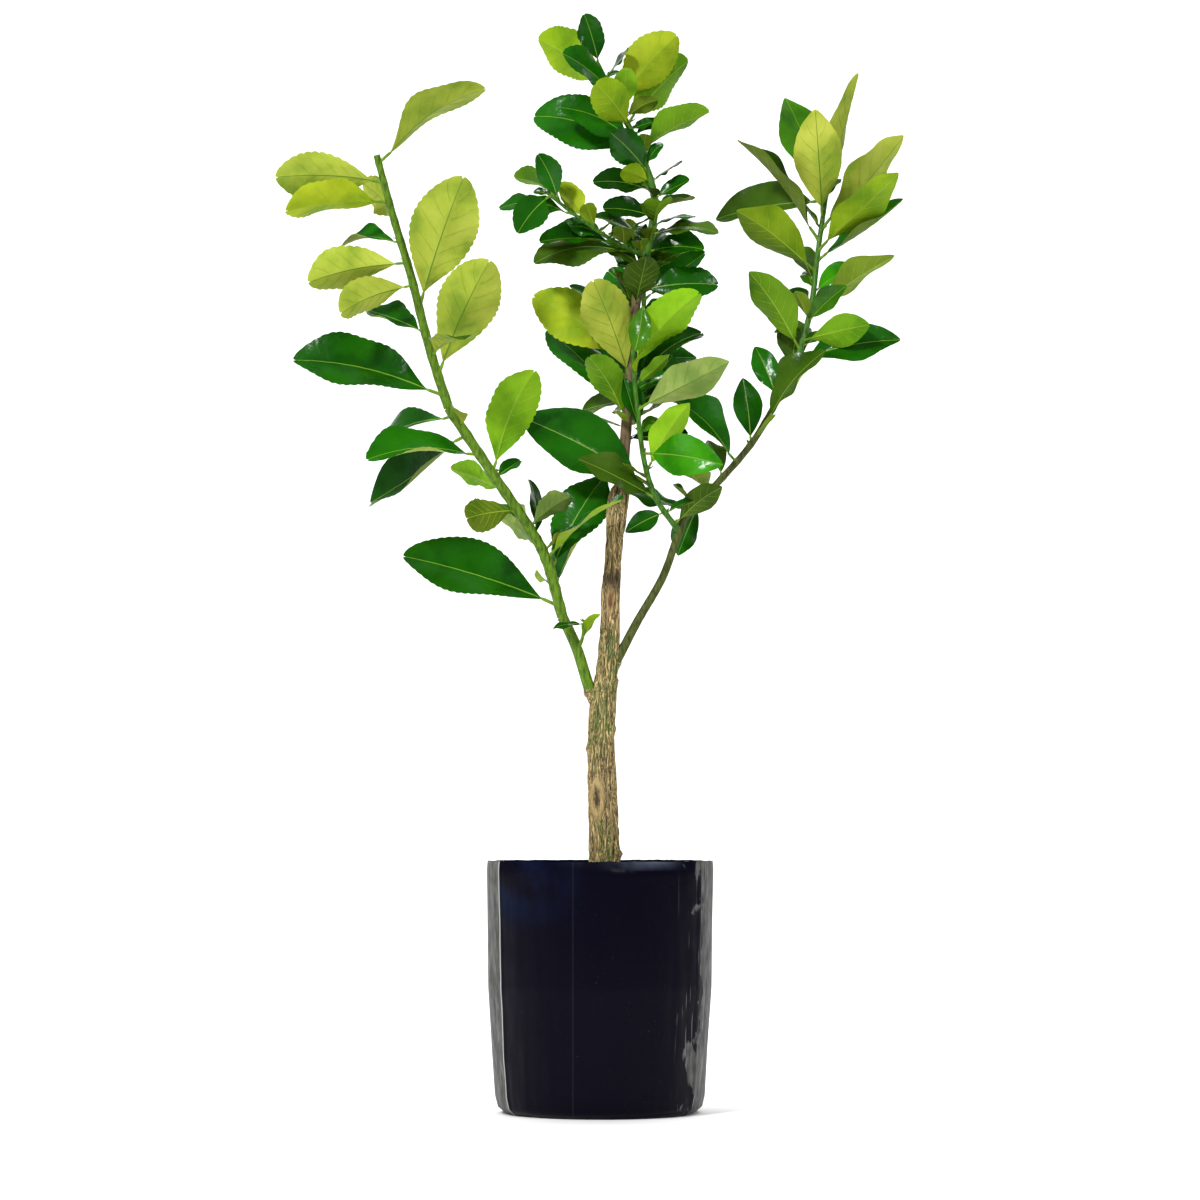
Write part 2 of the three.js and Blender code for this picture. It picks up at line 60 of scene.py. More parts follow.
# Planter bag. Folds are noise with its scale, its seed and how far it reaches.
BAG_HEIGHTS = [0, 5, 14, 100, 200]
BAG_RADII = [75, 81, 83, 89, 90.5]
BAG_SIDES = 240
BAG_RINGS = 80
BASE_RINGS = (6, 11)  # how many, and how far apart
BAG_SMOOTH_ANGLE = 50
CREASES = [30, 150, 210, 330]
CREASE_HEIGHT = 1.6
CREASE_RIDGE = (0.6, 1.2)  # share of the height, width in degrees
CREASE_FOOT = (0.4, 7)
SWELL = ((2.2, 2.2, 2.5), 5, 0.9)
WRINKLES = ((15, 15, 2.2), 9, 0.35)
CREASE_PULL = ((5, 5, 9), 2, 0.8)
PULL_WIDTH = 12
FOLD_FOOT = 12  # folds grow up to this height
FOLD_LIMIT = 1.2
RIM_BEND = 190
RIM_LEAN = 0.8
RIM_DENT = (290, 24, 3.4)  # angle round, width in degrees, depth
DENT_POWER = 1.5  # of its rise to the rim
RIM_WAVES = ((7, 7, 0), 3, 0.5)
RIM_NICKS = ((30, 30, 0), 4, 0.3)
RIM_DROP = 0.4

# Potting mix and the chips that lie on it.
SOIL_FOOT = 2
SOIL_TOP = 176
SOIL_DROP = 3
SOIL_SIDES = 96
SOIL_SIDE_RINGS = 12
SOIL_TOP_RINGS = (22, 3.9)
SOIL_CLEARANCE = 1.2
SOIL_CROWN = 0.7  # power of the rise towards the trunk
CRUMBS = ((0.06, 0.06, 0.06), 1, 1.6)
FINE_CRUMBS = ((0.25, 0.25, 0.25), 2, 1.0)
SEAT = (12, 14)  # radius of the level seat round the trunk, and width over which crumbs set in
CHIPS = 520
CHIP_SEED = 77
CHIP_NEAREST = 17
CHIP_INNER = 0.05  # share of the top's area round the trunk without chips
CHIP_FURTHEST = 86
CHIP_SIZES = (1.6, 5.2)
CHIP_WIDTHS = (0.4, 0.8)  # share of the size
CHIP_DEPTHS = (0.3, 0.7)  # share of the width
CHIP_SIDES = 6
CHIP_CORNERS = (0.75, 1.1)
CHIP_RINGS = [(-1, 0.35), (-0.5, 0.9), (0.4, 1.0), (1, 0.4)]  # place along, width
CHIP_LIFT = 0.8
CHIP_FALL = 1 / 30  # for each millimetre away from the trunk
CHIP_TILT = 0.9
PUMICE_SHARE = 0.06

# Trunk: across, height, radius.
TRUNK = np.array([
    (3.4, SOIL_TOP + GAP, 15.5),
    (3.3, 184, 13.2),
    (3.2, 200, 11.8),
    (1.6, 250, 11.4),
    (1.0, 293, 10.0),
    (2.2, 318, 10.4),
    (5.0, 343, 8.8),
    (7.4, 370, 7.9),
    (8.2, 397, 6.8),
    (7.8, 414, 7.3),
    (9.7, 431, 6.1),
    (11.0, 451, 6.2),
    (13.0, 471, 7.4),
    (14.6, 488, 8.4),
    (17.2, 501, 6.2),
])
TRUNK_SIDES = 12
FLUTE = 0.05
FLUTES = 3
FLUTE_RISE = 30  # height for a radian of turn
TRUNK_MESH = (128, 10, 260)  # sides, radius, rings
TRUNK_BLEND = np.linspace(-7, 7, 9)  # steps up and down over which its stations run together
TRUNK_ROUNDING = (2.2, 4)  # at the top: how far in, over what height

# Bark. Noise scales are per millimetre.
TRUNK_FISSURES = 0.42
BOUGH_FISSURES = 0.5
FISSURE_DEPTH = 2.4
FISSURE_STEEPNESS = 7
FISSURE_RUN = 0.13  # scale along the stem as a share of the scale across
FISSURE_SEED = 11
BARK_SWAY = (1.6, (0.09, 0.09, 0.05), (1, 4, 7))  # reach, scale, seeds
BARK_GRAIN = (2.1, 0.3, 13, 0.45)  # scales as shares of the fissures', seed, height
OLD_BARK = (0.9, 0.45)  # on a bough: how far it stands out, and its relief
YOUNG_BARK = ((0.8, 0.8, 0.12), 5, 0.12)
OLD_BARK_EDGE = ((0.5, 0.5, 0.1), 21, 3)
OLD_BARK_FADE = 2
# The relief is stored for the painted shade in the bark's hollows.
RELIEF_COLOUR = (0.5, 0.4)  # level of flat bark, share of its relief
SCARS = [
    # across, height, half width, half height, lip, sink
    (-2.0, 249, 4.4, 13, 2.0, 1.8),
    (8.6, 407, 2.6, 9, 0.7, 0.9),
    (0.5, 357, 2.2, 4, 0.7, 0.6),
]
SCAR_LIP_WIDTH = 0.28
SCAR_HOLLOW = 0.6
# Painted shade in each scar's hollow comes from its sink; the lip's paler tint is callus.
SCAR_SHADE = (0.65, 4)  # reach, power
SCAR_TINT = 0.4  # colour for each millimetre of lip or sink
STAIN = (424, 9, 0.8)  # height, half height and strength of the dark band
WOUND = (8.6, 407, 2.4, 8)  # across, height, half width, half height
KNOBS = [
    # angle round, height, size, how far it stands out
    (345, 205, 3.4, 3.6),
    (352, 304, 3.0, 1.6),
    (183, 289, 3.4, 1.8),
    (178, 427, 2.6, 1.4),
    (20, 343, 3.0, 1.5),
    (200, 477, 3.0, 1.0),
]

# Leaves: width and petiole are shares of the length, and angles are degrees.
BROAD = dict(width=0.5, petiole=0.11, blunt=0.85, fold=16, droop=16)
SMALL = dict(width=0.62, petiole=0.12, blunt=0.9, fold=16, droop=22)
LONG = dict(width=0.48, petiole=0.12, blunt=0.4, fold=18, droop=10)
# What only the looks have: tooth spacing in millimetres, share of the tooth depth, notch, fuller end, and
# how much slimmer the blade is than the plain solid.
BROAD.update(teeth=6.0, serration=1.0, notch=1.8, full_end=1.22, slim=0.96, slot="broad_leaves")
SMALL.update(teeth=5.0, serration=1.0, notch=1.0, full_end=1.12, slim=0.86, slot="small_leaves")
LONG.update(teeth=9.0, serration=0.35, notch=0.0, full_end=1.04, slim=0.94, slot="long_leaves")
FULLNESS = (0.9, 1.15)  # powers of the outline at the foot and at a pointed tip
BLUNTNESS = 0.65  # how much less at a blunt tip
LEAF_THICKNESS = 0.013
LEAF_THINNEST = 1
PETIOLE_HALF = (1.4, 1.1)
BLADE_STATIONS = (0.2, 0.46, 0.74, 0.93)
SHORT_BLADE = 62
SHORT_BLADE_STATIONS = (0.26, 0.6, 0.9)
LEAF_TURN = -144
FIRST_LEAF = 0.6  # of a step along the stem
LEAF_SEEDS = (7919, 97, 1009)  # for the shoot, the place and the try
# How far a leaf strays from the rule, and how much further at each new try.
HEADING_STRAY = (14, 10)
RISE_STRAY = (10, 6)
LENGTH_STRAY = 0.1  # share of the length
ROLL_STRAY = 26
TWIST_STRAY = 12
DROOP_STRAY = 8
FOLD_STRAY = 6
SHORTER = 0.05  # at each new try
# The same for a leaf whose tip is stated.
AIMED_STRAY = (0, 5)
AIMED_ROLL_STRAY = (0, 6)
AIMED_CALM = 3  # how many times less it twists
AIMED_SHORTER = 0.03
LIGHT_ROLL = 40
LEAF_CLEARANCE = 0.5
TRIES = 7
BOUGH_TEST_SIDES = 8
STEM_TEST_SIDES = 6
TWIG_TEST = (5, 3)  # sides, steps
CROWN = np.array([(-266, -170, 330), (252, 170, 884)])
# An eye in front of the tree and the point that it looks at.
EYE = np.array([0.0, -3000.0, 230.0])
AIM = np.array([0.0, 0.0, 408.0])
TWIG_TURN = 137
TWIG_SEEDS = (104729, 31)  # for the shoot and the number
TWIG_PLACE = (0.7, 0.4)  # steps up to the first, and how many more steps than twigs
TWIG_STRAY = 30
TWIG_RISE = (30, 60)
TWIG_LENGTH = 34
TWIG_LENGTHS = (0.8, 1.2)
TWIG_SAG = 1
TWIG_LEAF = 0.8  # length beside the shoot's own leaves
TWIG_SEED = 40
TWIG_RADIUS = (1.5, 0.9)
TWIG_LEAVES = 3

# Blades up close. Columns are places across the blade, from edge to edge.
BLADE_SEEDS = (31, 7)
COLUMNS = np.array([-1, -0.9, -0.72, -0.52, -0.32, -0.15, 0, 0, 0.15, 0.32, 0.52, 0.72, 0.9, 1])
RIB = (6, 7)  # the columns on each side of the midrib
RIB_HALF = (0.62, 0.2)  # at its foot and at its tip
RIB_MOST = 0.1  # share of the blade's half width
RIB_RIDGE = 0.5
USUAL_LENGTH = 80
FEWEST_TEETH = 5
TOOTH_STATIONS = 3
TOOTH_LEVEL = 0.6
TEETH_START = (0.12, 0.2)  # where they set in, and over what share
TEETH_FADE = 0.3  # power towards both ends
BLADE_ENDS = (0.25, 0.2)  # parts of a station at the foot and at the tip
EDGE_WAVES = (1.0, 1.3)  # fewest along an edge, and how many more
ARCH = (-0.05, 0.08)  # least and most, as shares of the length
CUP = (-0.35, 0.25)  # least and most, as shares of the half width
FOLD_POWER = 1.3
CUP_POWER = 2.4
THIN_EDGE_POWER = 6
NOTCH_WIDTH = 0.22
NOTCH_START = 0.86
VEINED_LENGTH = 45
VEIN_PAIRS = 7
VEIN_SLANT = 0.208  # share of the blade that a vein runs on its way to the edge
VEIN_STEPS = 9
VEIN_PROUD = 0.02
VEIN_RADII = (0.16, 0.05)
VEIN_REACH = 0.86
VEIN_BOUNDS = (0.04, 0.95)
VEIN_FADE = 4  # power towards the edge
PETIOLE_RADII = np.array([2.0, 1.4, 1.15, 1.1, 1.15, 1.1, 0.7])
PETIOLE_REACH = 1.15
PETIOLE_SIDES = 8

# Stems up close.
BOUGH_STEPS = 20
BOUGH_ROUNDNESS = 6
STEM_STEPS = 14
STEM_SIDES = 14
TWIG_STEPS = 8
TWIG_SIDES = 8
NODE_SWELL = (0.13, 3)  # where a leaf joins: share of the radius, and half its length
BUD_SEED = 5
BUD = (1.1, 3.2)  # radius, length
BUD_LEAN = 0.5
BUD_SIDES = 5
BUD_FOOT = (0.8, 1.6)  # share of the stem's radius, and how far above the leaf
BUD_SHAPE = [(0, 0.8), (0.35, 1.0), (0.7, 0.55), (1.0, 0.08)]  # place along, share of the radius
THORN_RADIUS = 0.6
THORN_LENGTHS = (4, 9)
THORN_SHARE = 0.22
THORN_WAY = (0.7, 0.5, 0.5)  # ahead, aside, up

BOUGHS = [
    dict(
        name="left_bough", finish="green_bark", slot="green_bark", old_bark_top=337,
        path=[(2, 0, 304), (-2, 0, 324), (-8.8, -1, 338), (-18.4, -3, 368.6), (-30, -6, 394)],
        radius=(4.9, 4.3),
        collar=2.2,
    ),
    dict(
        name="right_bough", finish="olive_bark", slot="olive_bark", old_bark_top=359,
        path=[(4, 0, 346), (14, 1, 361), (30, 4, 391), (50, 9, 426), (61, 13, 456), (68, 16, 475)],
        radius=(3.6, 3.0),
        collar=1.6,
    ),
    dict(
        name="centre_leader", finish="leader_bark", slot="olive_bark", old_bark_top=0,
        path=[(16.6, 0, 497), (19, 1, 516), (20, 2, 532)],
        radius=(4.5, 4.3),
        collar=0.6,
    ),
]
COLLAR_POWER = 5

# Foliage: tips holds place along the shoot, x and z of the tip as seen from the front, its depth
# behind the root, and how far the upper side faces the front, where -1 shows the whole underside.
MASSES = [
    dict(
        name="left_lower_foliage", seed=360, kind=BROAD, radius=(4.3, 3.9), leaves=13, phase=45,
        rise=(30, 45), length=(86, 74),
        path=[(-30, -6, 394), (-42, -12, 437), (-56, -18, 464), (-87, -30, 509), (-120, -42, 558)],
        tips=[
            (0, -158, 443, -8, 0.75), (1, -14, 480, 60, 0.4), (2, 3, 506, 26, 0.9),
            (4, -84, 478, 40, -0.5), (5, -57, 505, 14, 0.4), (6, -23, 491, -24, -0.75),
            (7, -107, 473, -44, -0.7), (8, -120, 513, 20, -0.6), (9, -52, 592, -18, -0.9),
            (10, -187, 520, -40, 0.5), (11, -184, 485, 90, 0.4), (12, -185, 524, 56, 0.4),
        ],
    ),
    dict(
        name="left_upper_foliage", seed=216, kind=BROAD, radius=(3.9, 2.6), leaves=12, phase=255,
        rise=(30, 50), length=(80, 74),
        path=[(-120, -42, 558), (-135, -52, 605), (-149, -65, 660), (-163, -77, 707), (-175, -88, 752)],
        tips=[
            (0, -246, 600, -10, 0.8), (1, -88, 680, -45, -0.9), (3, -187, 640, 30, 0.6),
            (4, -109, 747, -42, -0.9), (5, -208, 637, -34, -0.7), (6, -234, 662, -16, -0.85),
            (7, -207, 691, 26, 0.4), (8, -190, 742, 40, -0.5), (9, -252, 719, -34, -0.5),
            (10, -260, 746, -14, -1), (11, -91, 817, -14, -0.4),
        ],
    ),
    dict(
        name="right_lower_foliage", seed=340, kind=LONG, radius=(3.0, 2.5), leaves=9, phase=165,
        rise=(20, 45), length=(60, 66),
        path=[(68, 16, 475), (93, 25, 502), (127, 35, 543), (160, 48, 603)],
        tips=[
            (1, 62, 443, 20, 0.9), (3, 86, 536, 24, 0.7), (4, 56, 570, -30, 0.7), (5, 114, 586, 0, 1),
            (6, 181, 608, -34, 0.6), (7, 124, 611, 18, 1),
        ],
    ),
    dict(
        name="right_upper_foliage", seed=24, kind=LONG, radius=(2.5, 1.8), leaves=18, phase=328,
        rise=(30, 60), length=(68, 70),
        path=[(160, 48, 603), (173, 57, 651), (180, 66, 703), (188, 75, 755)],
        tips=[
            (0, 241, 616, -6, 0.9), (1, 119, 671, -24, -0.8), (2, 216, 628, -34, -0.9),
            (3, 139, 622, 10, 0.7), (4, 198, 660, -20, 0.85), (5, 236, 684, -8, -0.5),
            (6, 150, 655, 30, 0.7), (7, 204, 676, 16, 0.8), (8, 150, 690, 50, 0.5),
            (9, 109, 720, -36, -0.8), (10, 243, 729, 0, 0.35), (11, 239, 750, -44, -0.6),
            (12, 109, 777, -16, 0.15), (13, 243, 780, 2, -0.6), (14, 172, 801, -46, -0.95),
            (15, 148, 810, 36, 0.8), (16, 88, 709, 50, 0.6), (17, 207, 830, -6, -0.35),
        ],
    ),
    dict(
        name="inner_shoot_foliage", seed=107, kind=LONG, radius=(2.4, 1.8), leaves=10, phase=285,
        rise=(25, 45), length=(56, 64),
        path=[(64, 14, 464), (46, 0, 488), (36, -11, 516), (30, -19, 557), (26, -24, 606)],
        tips=[
            (0, 98, 499, -20, -0.85), (1, 20, 462, -16, 1), (2, -18, 521, -34, 0.7),
            (3, -65, 555, -6, 0.95), (4, 72, 566, -10, -0.85), (5, 99, 516, -44, 0.95),
            (7, 104, 599, -26, -0.8), (8, 56, 605, -10, -0.6),
        ],
    ),
    dict(
        name="centre_mid_foliage", seed=159, kind=BROAD, radius=(4.2, 3.6), leaves=20, phase=345,
        rise=(25, 45), length=(66, 58), twigs=3,
        path=[(20, 2, 532), (24, 4, 586), (28, 4, 642), (37, 2, 685)],
        tips=[
            (1, -20, 571, 16, -0.6), (2, -9, 603, -30, -0.8), (3, -42, 624, 34, 0.7),
            (5, 82, 622, 24, 0.7), (6, -6, 664, -40, -0.9), (7, 80, 654, -26, -0.8),
            (8, -54, 651, 6, -1), (9, -14, 640, 26, 0.6), (10, 20, 650, 46, 0.5),
            (12, 10, 672, 26, 0.6), (15, 95, 660, 0, 0.95), (16, 76, 681, 24, 0.7),
            (17, 52, 700, 50, 0.5), (18, 2, 690, -4, 0.8),
        ],
    ),
    dict(
        name="centre_top_foliage", seed=17, kind=SMALL, radius=(3.4, 1.7), leaves=26, phase=349,
        rise=(20, 50), length=(50, 44), twigs=5,
        path=[(37, 2, 685), (44, 1, 731), (31, 0, 774), (15, -1, 807), (-2, -3, 842)],
        tips=[
            (2, 95, 701, -14, 0.5), (4, 2, 721, -16, 0.8), (5, 76, 729, 14, 0.4),
            (6, 72, 744, -12, 0.7), (7, -6, 742, -8, 0.8), (8, 14, 750, -24, -0.6),
            (9, 8, 782, -34, 0.8), (10, 51, 773, -8, 0.8), (11, -53, 795, 20, 0.9),
            (12, 88, 799, -14, -0.5), (13, -32, 802, -18, 0.85), (14, 52, 794, 12, 0.7),
            (15, -4, 821, -46, -0.85), (16, 71, 840, 34, -0.6), (17, 46, 808, -14, -0.7),
            (18, 22, 834, -26, -0.8), (19, 64, 864, -6, -0.9), (21, -30, 845, -40, 0.6),
            (22, -50, 857, 36, -0.7), (25, -13, 877, -14, 0.9),
        ],
    ),
    dict(
        name="centre_side_foliage", seed=87, kind=SMALL, radius=(1.9, 1.2), leaves=11, phase=200,
        rise=(20, 50), length=(38, 32), twigs=4,
        path=[(37, 2, 685), (12, -14, 695), (-18, -29, 713), (-42, -41, 730)],
        tips=[
            (1, -53, 677, -10, 0.7), (3, -50, 692, 10, 0.7), (4, -26, 706, 14, 0.8),
            (5, -12, 725, -20, -0.8), (6, -34, 741, 6, -0.8), (7, -81, 721, -8, 0.6),
            (8, -69, 746, 26, -0.2), (9, -50, 765, -16, 0.9), (10, -66, 701, -30, 0.85),
        ],
    ),
    dict(
        name="centre_back_foliage", seed=207, kind=BROAD, radius=(2.8, 1.6), leaves=15, phase=120,
        rise=(20, 50), length=(72, 58), twigs=3,
        path=[(20.7, 3, 541), (23, 22, 566), (30, 44, 610), (36, 62, 654), (34, 74, 696)],
        tips=[],
    ),
    dict(
        name="left_sprig", seed=389, kind=LONG, radius=(1.6, 1.0), leaves=4, phase=255,
        rise=(35, 60), length=(30, 22),
        path=[(-18, -3, 368), (-14, -12, 377), (-12, -17, 391)],
        tips=[
            (1, 0, 397, -12, -0.6), (3, -38, 385, -6, 0.5),
        ],
    ),
]

# Upper face and underside of a mass's leaves, then of single ones by their place on the shoot.
# Dull, darker tints for leaves that lie in shade are painted shade.
# The palest underside stands in for light on undersides turned away from the lamps: painted light.
TINTS = {
    "left_lower_foliage": (
        ["deep lime", "deep pale"],
        {4: "mid grey", 5: "dark olive", 6: "mid grey", 7: "mid olive", 8: "deep leaf", 9: "deep bright",
         11: "dark olive", 12: "deep lime"},
    ),
    "left_upper_foliage": (
        ["deep pale"],
        {0: "deep lime", 3: "deep lime", 9: "mid gold", 11: "mid pale"},
    ),
    "right_lower_foliage": (
        ["deep olive", "moss olive"],
        {3: "moss olive", 4: "deep olive", 5: "deep olive", 6: "moss grey", 7: "deep olive"},
    ),
    "right_upper_foliage": (
        ["mid pale", "moss olive"],
        {0: "deep olive", 1: "mid leaf", 2: "mid leaf", 3: "moss olive", 4: "mid lime", 5: "mid olive",
         6: "dark olive", 7: "fresh lime", 8: "moss olive", 9: "mid lime", 10: "deep olive",
         11: "mid lime", 12: "moss olive", 13: "mid pale", 14: "fresh cream", 15: "mid olive",
         16: "moss olive", 17: "mid cream"},
    ),
    "inner_shoot_foliage": (
        ["deep olive", "mid lime"],
        {0: "deep moss", 1: "deep olive", 2: "moss olive", 3: "deep olive", 4: "mid bright",
         5: "fresh lime", 7: "mid grey", 8: "mid leaf"},
    ),
    "centre_mid_foliage": (
        ["deep lime", "deep olive", "dark olive"],
        {1: "dark olive", 2: "mid leaf", 3: "deep olive", 4: "moss olive", 5: "dark olive", 6: "mid cream",
         7: "mid bright", 8: "mid gold", 9: "moss olive", 12: "moss olive", 13: "deep moss",
         15: "deep olive", 16: "moss olive", 17: "dark olive", 18: "moss olive"},
    ),
    "centre_top_foliage": (
        ["deep lime", "dark lime", "deep olive"],
        {2: "moss olive", 3: "mid leaf", 4: "dark olive", 5: "moss olive", 8: "mid lime", 9: "deep lime",
         11: "deep lime", 12: "fresh leaf", 13: "deep lime", 15: "mid lime", 16: "mid leaf",
         17: "mid olive", 18: "mid leaf", 19: "fresh gold", 21: "deep olive", 22: "fresh lime",
         25: "deep lime"},
    ),
    "centre_side_foliage": (
        ["deep lime", "deep olive", "dark olive"],
        {1: "moss olive", 3: "deep olive", 5: "mid lime", 6: "mid gold", 7: "deep olive", 8: "mid leaf",
         9: "deep lime", 10: "deep lime"},
    ),
    "centre_back_foliage": (["deep lime", "deep olive", "moss lime"], {}),
    "left_sprig": (["deep olive"], {1: "mid lime", 3: "dark olive"}),
}

# Small leaves that only the looks have, on the stems between the others: how many, and their longest and
# shortest length.
EXTRA_LEAVES = {
    "centre_top_foliage": (26, 36, 22),
    "centre_mid_foliage": (14, 38, 26),
    "centre_side_foliage": (12, 26, 18),
    "centre_back_foliage": (8, 40, 28),
    "left_lower_foliage": (5, 40, 30),
    "right_upper_foliage": (6, 36, 26),
    "right_lower_foliage": (4, 34, 26),
    "inner_shoot_foliage": (4, 34, 26),
}
EXTRA_SEED = 900
EXTRA_PHASE = 72  # degrees round the stem from the other leaves

# Bark of the masses' stems that isn't young bark.
STEM_FINISH = {
    "left_lower_foliage": "green_bark",
    "left_upper_foliage": "green_bark",
    "left_sprig": "green_bark",
    "right_lower_foliage": "olive_bark",
    "centre_mid_foliage": "leader_bark",
}

# Finish of the ribs and veins of each tint.
RIB_OF = {
    "light": ("deep", "dark", "mid", "fresh", "moss"),
    "dark": ("cream", "pale", "grey"),
    "lime": ("lime", "gold", "bright", "leaf", "olive"),
}
RIB_LOOKS = {
    # colour, variety, roughness
    "light": ((0.14, 0.27, 0.02), 0.1, 0.45),
    "dark": ((0.1, 0.2, 0.01), 0.15, 0.5),
    "lime": ((0.24, 0.37, 0.02), 0.1, 0.45),
}
RIB_GLOSS = 0.3
RIB_BUMP = 0.2
VEIN_SHADE = 1.35
TOP_TINTS = ("dark", "deep", "moss", "mid", "fresh")
UNDER_TINTS = ("pale", "grey", "lime", "olive", "cream", "gold", "bright", "leaf", "moss")
SHADES = 3
SHADE_SPREAD = 0.16
DEEPER = (1.5, 1, 1.5)  # shares of the variety that red, green and blue lose
PALER = (1, 0.7, 2)  # and gain
TOP_VARIETY = 0.32
TOP_GLOSS = 0.2
UNDER_LOOK = (0.26, 0.6, 0.1, 0.4)  # variety, roughness, gloss, bump
LEAF_BUMP = 0.4

# Stops of the colour ramps, and shades of the base colour at them.
LEAF_STOPS = (0.36, 0.5, 0.66)
STEM_STOPS = (0.32, 0.5, 0.72)
STEM_PALER = 1.5
RIDGE_STOPS = (0.37, 0.49, 0.63)
RIDGE_SHADES = (0.3, 1, 2.3)
# Painted shade in the bark's hollows, from full to none.
SUNK_STOPS = (0.1, 0.5)
# Grey of the gussets: real dust with a painted sheen.
DUST_AND_SHEEN_STOPS = (0.34, 0.5, 0.66)
DUST_AND_SHEEN_SHADES = (0.6, 1, 1.6)
MIX_STOPS = (0.3, 0.5, 0.75)
MIX_SHADES = (0.25, 1, 2.6)
PAPER_STOPS = (0.3, 0.7)

# Bumps: strength, and height in metres.
GRAIN_BUMP = (0.25, 0.0003)  # strength as a share of the leaf's
LUMP_HEIGHT = 0.001
STEM_BUMP = (0.35, 0.0005)
BARK_BUMP = (0.7, 0.001)
FILM_BUMP = (0.12, 0.001)
MIX_BUMP = (0.9, 0.003)

# How the noise runs upwards, as a share of its scale across.
STEM_RUN = 0.22
BARK_RUN = 0.2
BARK_FLOW_RUN = 0.05
RAG_RUN = 0.5
STREAK_RUN = 0.4
SCRATCH_RUN = 0.03
CREASING_RUN = 0.14

# Noise in the finishes: patches to a metre, and detail.
LEAF_MOTTLE = (30.0, 4.0)
LEAF_GRAIN = (1400.0, 2.0)
LEAF_LUMPS = (210.0, 1.0)
STEM_STREAKS = (520.0, 4.0)
BARK_BENDS = (110.0, 2.0)
BARK_FLOW = (430.0, 2.0)
BARK_FIBRES = (1500.0, 5.0)
BARK_PATCHES = (80.0, 3.0)
FILM_STREAKS = (180.0, 4.0)
FILM_RAGS = (48.0, 5.0)
FILM_CLOUDS = (24.0, 4.0)
FILM_SCRATCHES = (420.0, 2.0)
FILM_SPECKS = (700.0, 0.0)
FILM_CREASING = (230.0, 3.0)
MIX_CRUMBS = (220.0, 6.0)
PAPER_SPECKLE = (6.0, 2.0)

# Finish of stems. Young barks take their colour from the settings, so only the streaks' share of it and the
# roughness stand here. The rest have colour, streak colour and roughness.
YOUNG_BARKS = {
    "green_bark": (0.45, 0.5),
    "olive_bark": (0.4, 0.6),
    "leader_bark": (0.35, 0.7),
    "young_bark": (0.5, 0.45),
}
STREAKED = {
    "stalk": ((0.13, 0.24, 0.015), (0.09, 0.17, 0.01), 0.45),
    "bark_chip": ((0.09, 0.045, 0.02), (0.02, 0.01, 0.005), 0.9),
    "pumice": ((0.5, 0.47, 0.42), (0.3, 0.28, 0.25), 0.95),
}
STEM_GLOSS = 0.2

# Finish of old bark.
BARK_BEND = (0.014, 0.014, 0.014)
BARK_ROUGHNESS = 0.8
CRACK_WIDTH = (0.026, 0.01)
CRACK_SHADE = 0.12
CRACK_RISE = (0.0, 0.05)
# Painted shade in the bark's hollows.
SUNK_SHADE = 0.2
CALLUS_SHADE = 1.5
MOSS_PATCHES = (0.5, 0.58)
MOSS_FIBRES = (0.56, 0.44)
MOSS_COLOUR = (0.05, 0.1, 0.01)
STAIN_COLOUR = (0.03, 0.018, 0.008)
WOUND_COLOUR = (0.16, 0.06, 0.028)

# Finish of the film. Places are metres, and a pair runs from where a mark ends to where it is full.
GUSSET_BLUR = 0.012  # radians
GUSSET_RAGS = 0.9
RAGGED_SIDE = (-0.02, 0.02)
BLOOM_ACROSS = (-0.01, -0.06)
BLOOM_HEIGHT = (0.145, 0.19)
BLOOM_CLOUDS = (0.38, 0.6)
BLOOM_COLOUR = (0.003, 0.009, 0.035)
SHEEN_HEIGHT = (0.192, 0.199)
SHEEN_AWAY = (0.0, -0.02)
SHEEN_CLOUDS = (0.3, 0.7)
SHEEN_MIDDLE = 0.032
SHEEN_HALF = (0.034, 0.008)
SHEEN_COLOUR = (0.09, 0.11, 0.16)
SEAM_LEFT = 0.021
SEAM_STRENGTH = 0.5
SEAM_HALF = (0.0009, 0.0003)
SEAM_COLOUR = (0.012, 0.012, 0.02)
# Painted highlight: a pale line along the crease on the left.
CREASE_HIGHLIGHT_ANGLE = (0.01, 0.003)
CREASE_HIGHLIGHT_SIDE = (0.03, -0.03)
CREASE_HIGHLIGHT_COLOUR = (0.42, 0.42, 0.38)
SCRATCH_SLANT = -28
SCRATCH_LINES = (0.63, 0.7)
SCRATCH_ANGLE = (0.85, 0.5)
SCRATCH_SIDE = (0.0, 0.06)
SCRATCH_COLOUR = (0.2, 0.2, 0.21)
SPECK_EDGE = (0.84, 0.88)
SPECK_STRENGTH = 0.2
SPECK_COLOUR = (0.1, 0.1, 0.12)
FILM_ROUGHNESS = (0.3, 0.5)  # panels, gussets
FILM_GLOSS = 0.06
MIX_ROUGHNESS = 0.95

